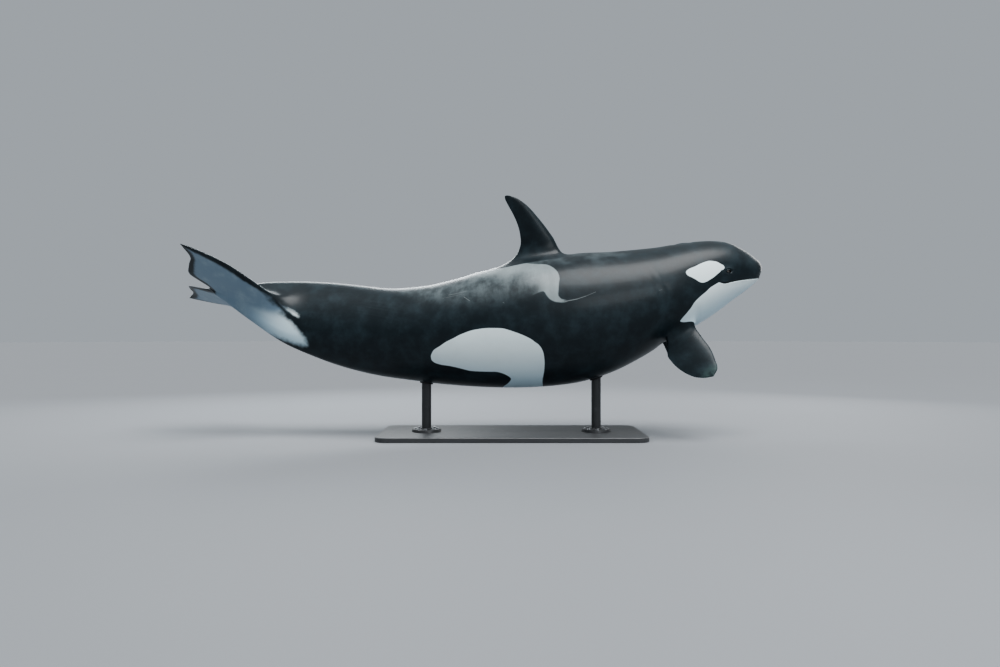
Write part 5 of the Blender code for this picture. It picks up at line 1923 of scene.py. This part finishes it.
@dataclass
class Eyes:
    """The two eyeballs, each with a slightly raised cornea."""

    ball: float = 0.0246
    # How far the cornea stands out, as a share, and the heights between which it rises.
    cornea: float = 0.012
    cornea_edge: tuple[float, float] = (0.86, 0.99)
    segments: int = 64
    rings: int = 40

    def build(self, socket: Socket, finish: bpy.types.Material) -> bpy.types.Object:
        """Build one eyeball.

        Args:
            socket: The socket it lies in.
            finish: Its material.

        Returns:
            Its object.
        """
        spot = socket.spot()
        bm = bmesh.new()
        bmesh.ops.create_uvsphere(bm, u_segments=self.segments, v_segments=self.rings, radius=self.ball)
        mesh = bpy.data.meshes.new(f"eye_{socket.side.word}_ball")
        bm.to_mesh(mesh)
        bm.free()
        local = np.array([v.co for v in mesh.vertices])
        height = local[:, 2] / self.ball
        gaze = np.arccos(np.clip(height, -1, 1)) / math.pi
        local *= (1 + self.cornea * smooth(*self.cornea_edge, height))[:, None]
        middle = spot.at - spot.out * socket.depth
        points = Spot(middle, spot.back, np.cross(spot.out, spot.back), spot.out).world(local)
        mesh.vertices.foreach_set("co", points.astype(np.float32).ravel())
        layer = mesh.attributes.new("gaze", "FLOAT", "POINT")
        layer.data.foreach_set("value", gaze.astype(np.float32))
        mesh.update()
        mesh.shade_smooth()
        mesh.materials.append(finish)
        piece = add_piece(f"eyeball_{socket.side.word}", mesh)
        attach(piece, "root")
        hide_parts(f"eye_{socket.side.word}")
        return piece


class BoltInput(Enum):
    """Named sizes of the tree that lays a ring of bolts."""

    COUNT = "Count"
    RING = "Ring Radius"
    HEAD = "Head Radius"
    TALL = "Head Height"
    WASHER = "Washer Radius"
    THICK = "Washer Height"
    CENTRE = "Centre"


@dataclass
class Stand:
    """Finish of the steel base, flanges and rods, with bolts, weld beads and rubber collars."""

    bolts: int = 8
    bolt_sides: int = 6
    bolt_ring: float = 0.096
    bolt_head: float = 0.0125
    bolt_tall: float = 0.0085
    washer: float = 0.0175
    washer_tall: float = 0.0022
    washer_sides: int = 28
    # How far the washers stay off the flange, and the bolts' edges are rounded.
    bolt_gap: float = 0.0002
    bolt_bevel: float = 0.0009
    bolt_seed: int = 4
    collar_wide: float = 0.016
    collar_tall: float = 0.013
    collar_steps: int = 72
    collar_sides: int = 14
    # How far the collar stays off the rod and sinks into the skin.
    collar_gap: float = 0.0004
    collar_sunk: float = 0.001
    weld_size: float = 0.009
    weld_steps: int = 216
    # Outline of the bead as angles from straight out of the rod.
    weld_turns: tuple[int, ...] = (-8, 15, 40, 65, 90, 98, 180, 225, 262)
    # Ripples of the bead as height, number round the rod and shift, and the angle in radians where they end.
    weld_ripples: Table = ((0.09, 54, 0), (0.03, 5, 1))
    weld_rippled: float = 1.7
    rod_colour: Triple = (0.060, 0.062, 0.066)
    rod_worn: Triple = (0.10, 0.103, 0.108)
    words: tuple[str, ...] = ("front", "rear")

    @staticmethod
    def rod(word: str) -> Triple:
        """Return a rod's place on the base and its radius."""
        low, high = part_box(f"stand_rod_{word}")
        return (low.x + high.x) / 2, (low.y + high.y) / 2, (high.x - low.x) / 2

    @staticmethod
    def steel_piece(name: str, mesh: bpy.types.Mesh, material: bpy.types.Material) -> bpy.types.Object:
        """Add a small piece of the stand.

        Args:
            name: Its name.
            mesh: Its mesh.
            material: Its one material.

        Returns:
            Its object.
        """
        mesh.materials.clear()
        mesh.materials.append(material)
        piece = add_piece(name, mesh)
        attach(piece, "root")
        return piece

    def dress(self) -> None:
        """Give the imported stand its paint."""
        paint = PaintFinish("stand_paint").make()
        rods = PaintFinish("stand_rod_paint", self.rod_colour, self.rod_worn, rough=0.36, metal=0.35)
        rod_paint = rods.make()
        for name in ("stand_base",) + tuple(f"stand_flange_{word}" for word in self.words):
            self.assign(name, paint)
        for word in self.words:
            self.assign(f"stand_rod_{word}", rod_paint)

    @staticmethod
    def assign(name: str, material: bpy.types.Material) -> None:
        """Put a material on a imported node.

        Args:
            name: The node's name.
            material: The material.
        """
        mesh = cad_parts[name].data
        mesh.materials.clear()
        mesh.materials.append(material)

    def bolt_tree(self, material: bpy.types.Material) -> bpy.types.GeometryNodeTree:
        """Make the tree that lays hexagonal bolts with washers on a ring.

        Args:
            material: Their material.

        Returns:
            The tree.
        """
        tree = bpy.data.node_groups.new("bolt_ring", "GeometryNodeTree")
        face = tree.interface
        face.new_socket("Geometry", in_out="OUTPUT", socket_type="NodeSocketGeometry")
        face.new_socket("Geometry", in_out="INPUT", socket_type="NodeSocketGeometry")
        kinds = {BoltInput.COUNT: "NodeSocketInt", BoltInput.CENTRE: "NodeSocketVector"}
        for name in BoltInput:
            face.new_socket(name.value, in_out="INPUT", socket_type=kinds.get(name, "NodeSocketFloat"))
        nodes, links = tree.nodes, tree.links
        sockets = nodes.new("NodeGroupInput").outputs
        given = {name: sockets[name.value] for name in BoltInput}

        def add(kind: str, inputs: dict[Any, Any]) -> bpy.types.Node:
            """Add a node.

            Args:
                kind: Its type.
                inputs: Values or sockets to link, by name.

            Returns:
                The node.
            """
            made = nodes.new(kind)
            for key, value in inputs.items():
                if isinstance(value, bpy.types.NodeSocket):
                    links.new(value, made.inputs[key])
                else:
                    made.inputs[key].default_value = value
            return made

        def disc(sides: int | bpy.types.NodeSocket, radius: Any, tall: Any) -> bpy.types.NodeSocket:
            """Return a flat cylinder."""
            inputs = {"Vertices": sides, "Radius": radius, "Depth": tall}
            return add("GeometryNodeMeshCylinder", inputs).outputs["Mesh"]

        spots = {"Vertices": given[BoltInput.COUNT], "Radius": given[BoltInput.RING]}
        circle = add("GeometryNodeMeshCircle", spots)
        head = disc(self.bolt_sides, given[BoltInput.HEAD], given[BoltInput.TALL])
        washer = disc(self.washer_sides, given[BoltInput.WASHER], given[BoltInput.THICK])
        stack = add("ShaderNodeMath", {0: given[BoltInput.THICK], 1: given[BoltInput.TALL]})
        half = add("ShaderNodeMath", {0: stack.outputs[0], 1: 0.5})
        half.operation = "MULTIPLY"
        lift = add("ShaderNodeCombineXYZ", {"Z": half.outputs[0]})
        raised = add("GeometryNodeTransform", {"Geometry": head, "Translation": lift.outputs[0]})
        both = nodes.new("GeometryNodeJoinGeometry")
        links.new(raised.outputs[0], both.inputs[0])
        links.new(washer, both.inputs[0])
        turn = add("FunctionNodeRandomValue", {"Seed": self.bolt_seed, 2: 0.0, 3: math.pi / 3})
        axes = add("ShaderNodeCombineXYZ", {"Z": turn.outputs[1]})
        bolts = {"Points": circle.outputs["Mesh"], "Instance": both.outputs[0], "Rotation": axes.outputs[0]}
        ring = add("GeometryNodeInstanceOnPoints", bolts)
        real = add("GeometryNodeRealizeInstances", {"Geometry": ring.outputs[0]})
        centre = {"Geometry": real.outputs[0], "Translation": given[BoltInput.CENTRE]}
        placed = add("GeometryNodeTransform", centre)
        dressed = add("GeometryNodeSetMaterial", {"Geometry": placed.outputs[0], "Material": material})
        links.new(dressed.outputs[0], nodes.new("NodeGroupOutput").inputs[0])
        return tree

    def lay_bolts(self, tree: bpy.types.GeometryNodeTree, word: str) -> bpy.types.Mesh:
        """Lay one flange's bolts.

        Args:
            tree: The tree that lays them.
            word: Front or rear.

        Returns:
            Their plain mesh.
        """
        low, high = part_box(f"stand_flange_{word}")
        centre = (low + high) / 2
        start = add_piece(f"bolts_{word}_start", bpy.data.meshes.new("bolts_start"))
        step = start.modifiers.new("bolts", "NODES")
        step.node_group = tree
        values = {
            BoltInput.COUNT: self.bolts,
            BoltInput.RING: self.bolt_ring,
            BoltInput.HEAD: self.bolt_head,
            BoltInput.TALL: self.bolt_tall,
            BoltInput.WASHER: self.washer,
            BoltInput.THICK: self.washer_tall,
            BoltInput.CENTRE: (centre.x, centre.y, high.z + self.washer_tall / 2 + self.bolt_gap),
        }
        names = {item.name: item.identifier for item in tree.interface.items_tree if item.in_out == "INPUT"}
        for name, value in values.items():
            step[names[name.value]] = value
        graph = bpy.context.evaluated_depsgraph_get()
        mesh = bpy.data.meshes.new_from_object(start.evaluated_get(graph))
        bpy.data.objects.remove(start)
        self.soften(mesh)
        return mesh

    def soften(self, mesh: bpy.types.Mesh) -> None:
        """Bevel the sharp edges of a small metal mesh and shade it.

        Args:
            mesh: The mesh.
        """
        bm = bmesh.new()
        bm.from_mesh(mesh)
        bmesh.ops.remove_doubles(bm, verts=bm.verts, dist=1e-5)
        sharp = [e for e in bm.edges if len(e.link_faces) == 2 and e.calc_face_angle() > math.radians(40)]
        bmesh.ops.bevel(bm, geom=sharp, offset=self.bolt_bevel, segments=2, affect="EDGES", profile=0.5)
        bmesh.ops.recalc_face_normals(bm, faces=bm.faces)
        bm.to_mesh(mesh)
        bm.free()
        mesh.shade_smooth()
        mesh.set_sharp_from_angle(angle=math.radians(50))

    @staticmethod
    def ring_mesh(name: str, loops: list[Array]) -> bpy.types.Mesh:
        """Join closed loops into a closed ring.

        Args:
            name: Its name.
            loops: Loops of as many points each.

        Returns:
            The mesh.
        """
        n, m = len(loops[0]), len(loops)
        faces = []
        for k in range(m):
            for i in range(n):
                j = (i + 1) % n
                faces.append((k * n + i, k * n + j, (k + 1) % m * n + j, (k + 1) % m * n + i))
        mesh = bpy.data.meshes.new(name)
        mesh.from_pydata(np.concatenate(loops).tolist(), [], faces)
        bm = bmesh.new()
        bm.from_mesh(mesh)
        bmesh.ops.recalc_face_normals(bm, faces=bm.faces)
        bm.to_mesh(mesh)
        bm.free()
        mesh.shade_smooth()
        return mesh

    def collar(self, word: str, skin: BVHTree) -> bpy.types.Mesh:
        """Shape the collar where a rod enters the belly, along the belly's slope.

        Args:
            word: Front or rear.
            skin: The skin's faces.

        Returns:
            The mesh.
        """
        x, y, radius = self.rod(word)
        turns = np.arange(self.collar_steps) * 2 * math.pi / self.collar_steps
        loops = []
        for a in np.arange(self.collar_sides) * 2 * math.pi / self.collar_sides:
            out = radius + self.collar_gap + self.collar_wide / 2 * (1 + math.cos(a))
            down = self.collar_tall * math.sin(a)
            ring = []
            for turn in turns:
                px, py = x + out * math.cos(turn), y + out * math.sin(turn)
                hit = skin.ray_cast(Vector((px, py, 0.1)), Vector((0, 0, 1)))[0]
                ring.append((px, py, hit.z - self.collar_sunk + down))
            loops.append(np.array(ring))
        return self.ring_mesh(f"collar_{word}", loops)

    def weld(self, word: str) -> bpy.types.Mesh:
        """Shape the rippled weld bead round the foot of a rod.

        Args:
            word: Front or rear.

        Returns:
            The mesh.
        """
        x, y, radius = self.rod(word)
        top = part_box(f"stand_flange_{word}")[1].z
        turns = np.arange(self.weld_steps) * 2 * math.pi / self.weld_steps
        ripple = 1 + sum(high * np.cos(turns * waves + shift) for high, waves, shift in self.weld_ripples)
        loops = []
        for a in np.radians(self.weld_turns):
            size = self.weld_size * (ripple if 0 < a < self.weld_rippled else 1.0)
            out = radius + np.maximum(size * math.cos(a), -0.002)
            high = np.broadcast_to(top + size * math.sin(a), turns.shape)
            loops.append(np.stack([x + out * np.cos(turns), y + out * np.sin(turns), high], -1))
        return self.ring_mesh(f"weld_{word}", loops)

    def build(self, skin: bpy.types.Object) -> list[bpy.types.Object]:
        """Dress the stand and add its small pieces.

        Args:
            skin: The skin's object.

        Returns:
            The pieces.
        """
        self.dress()
        steel, rubber = BareSteelFinish().make(), RubberFinish().make()
        paint = PaintFinish("weld_paint").make()
        tree = self.bolt_tree(steel)
        points = [v.co for v in skin.data.vertices]
        belly = BVHTree.FromPolygons(points, [tuple(p.vertices) for p in skin.data.polygons])
        made = []
        for word in self.words:
            made.append(self.steel_piece(f"bolts_{word}", self.lay_bolts(tree, word), steel))
            made.append(self.steel_piece(f"collar_{word}", self.collar(word, belly), rubber))
            made.append(self.steel_piece(f"weld_{word}", self.weld(word), paint))
        return made


class LightUse(Enum):
    """What each light of the studio is for."""

    KEY = "key"
    FRONT = "front"
    RIM = "rim"
    BACK = "back"


@dataclass(frozen=True)
class SoftBox:
    """A large soft light that the camera doesn't see."""

    use: LightUse
    place: Triple
    aim: Triple
    wide: float
    tall: float
    watts: float
    colour: Triple = (1.0, 1.0, 1.0)

    def build(self) -> None:
        """Add the light."""
        data = bpy.data.lights.new(f"light_{self.use.value}", "AREA")
        data.shape, data.size, data.size_y = "RECTANGLE", self.wide, self.tall
        data.energy, data.color = self.watts, self.colour
        hang(data, self.place, self.aim)


def hang(data: bpy.types.Light, place: Triple, aim: Triple) -> None:
    """Add a light that the camera does not see.

    Args:
        data: The light.
        place: Where it hangs.
        aim: Where it points.
    """
    lamp = bpy.data.objects.new(data.name, data)
    bpy.context.scene.collection.objects.link(lamp)
    lamp.location = place
    lamp.rotation_euler = (Vector(aim) - Vector(place)).to_track_quat("-Z", "Y").to_euler()
    lamp.visible_camera = False


@dataclass
class Studio:
    """Pale floor and backdrop, soft light from above and the camera."""

    floor_radius: float = 90.0
    backdrop: Triple = (0.34, 0.37, 0.40)
    sky: Triple = (0.90, 0.96, 1.0)
    zenith: float = 0.62
    horizon: float = 0.14
    key_strength: float = 4.0
    key_from: Triple = (1.2, -1.6, 5.0)
    key_angle: float = 42.0
    # Focal length over the length of a metre, both in the photograph's pixels.
    camera_back: float = 800 / 113
    lens: float = 28.8
    sensor: float = 36.0
    look: str = "AgX - Medium High Contrast"
    boxes: tuple[SoftBox, ...] = (
        SoftBox(LightUse.FRONT, (2.8, -6.0, 3.4), (0.4, 0.0, 0.9), 3.0, 2.0, 90, (0.94, 0.98, 1.0)),
        SoftBox(LightUse.RIM, (-2.6, 4.2, 3.6), (-0.4, 0.0, 1.1), 5.0, 1.4, 200, (0.92, 0.97, 1.0)),
        SoftBox(LightUse.BACK, (4.6, 4.0, 2.6), (1.0, 0.0, 1.1), 2.6, 2.0, 60),
    )

    def build(self) -> None:
        """Add floor, world, lights and camera."""
        self.lay_floor()
        self.dress_world()
        key = bpy.data.lights.new(f"light_{LightUse.KEY.value}", "SUN")
        key.energy, key.angle = self.key_strength, math.radians(self.key_angle)
        hang(key, self.key_from, (0.0, 0.0, 0.0))
        for box in self.boxes:
            box.build()
        data = bpy.data.cameras.new("camera")
        data.lens, data.sensor_width, data.clip_end = self.lens, self.sensor, 300
        camera = bpy.data.objects.new("camera", data)
        bpy.context.scene.collection.objects.link(camera)
        camera.location = (0.0, -self.camera_back, PLAN.lift)
        camera.rotation_euler = (math.pi / 2, 0.0, 0.0)
        bpy.context.scene.camera = camera
        bpy.context.scene.view_settings.look = self.look

    def lay_floor(self) -> None:
        """Add the floor."""
        mesh = bpy.data.meshes.new("floor")
        bm = bmesh.new()
        bmesh.ops.create_circle(bm, cap_ends=True, segments=96, radius=self.floor_radius)
        bm.to_mesh(mesh)
        bm.free()
        mesh.materials.append(FloorFinish().make())
        add_piece("floor", mesh)

    def dress_world(self) -> None:
        """Give the world light that is stronger from above, and a plain pale backdrop."""
        world = bpy.data.worlds.new("studio")
        world.use_nodes = True
        nodes, links = world.node_tree.nodes, world.node_tree.links
        glow = nodes["Background"]
        seen = nodes.new("ShaderNodeBackground")
        seen.inputs["Color"].default_value = (*self.backdrop, 1)
        split = nodes.new("ShaderNodeSeparateXYZ")
        links.new(nodes.new("ShaderNodeTexCoord").outputs["Generated"], split.inputs[0])
        level = nodes.new("ShaderNodeMapRange")
        span = {"From Min": 0.0, "From Max": 0.9, "To Min": self.horizon, "To Max": self.zenith}
        for name, value in span.items():
            level.inputs[name].default_value = value
        links.new(split.outputs["Z"], level.inputs["Value"])
        glow.inputs["Color"].default_value = (*self.sky, 1)
        links.new(level.outputs[0], glow.inputs["Strength"])
        mix = nodes.new("ShaderNodeMixShader")
        links.new(nodes.new("ShaderNodeLightPath").outputs["Is Camera Ray"], mix.inputs[0])
        links.new(glow.outputs[0], mix.inputs[1])
        links.new(seen.outputs[0], mix.inputs[2])
        links.new(mix.outputs[0], nodes["World Output"].inputs["Surface"])
        bpy.context.scene.world = world


FLESH = (
    "head", "chest", "torso", "loin", "tail_stock", "dorsal_fin", "flipper_right", "flipper_left",
    "fluke_right", "fluke_left", "lower_jaw", "eye_patch_right", "eye_patch_left", "belly_band",
    "flank_patch_right", "flank_patch_left", "saddle_patch",
)


def main() -> None:
    """Build the animal, its eyes, the stand's finish and the studio."""
    logging.basicConfig(level=logging.INFO, format="%(name)s: %(message)s")
    Studio().build()
    orca = Orca()
    skin = orca.skin()
    skin.data.materials.append(SkinFinish().make())
    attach(skin, "root")
    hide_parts(*FLESH)
    log.info("skin: %d points, %d faces", len(skin.data.vertices), len(skin.data.polygons))
    eye_finish = EyeFinish().make()
    for socket in orca.sockets:
        eye = Eyes().build(socket, eye_finish)
        log.info("%s: %d faces", eye.name, len(eye.data.polygons))
    for piece in Stand().build(skin):
        log.info("%s: %d faces", piece.name, len(piece.data.polygons))


if __name__ == "__main__":
    main()
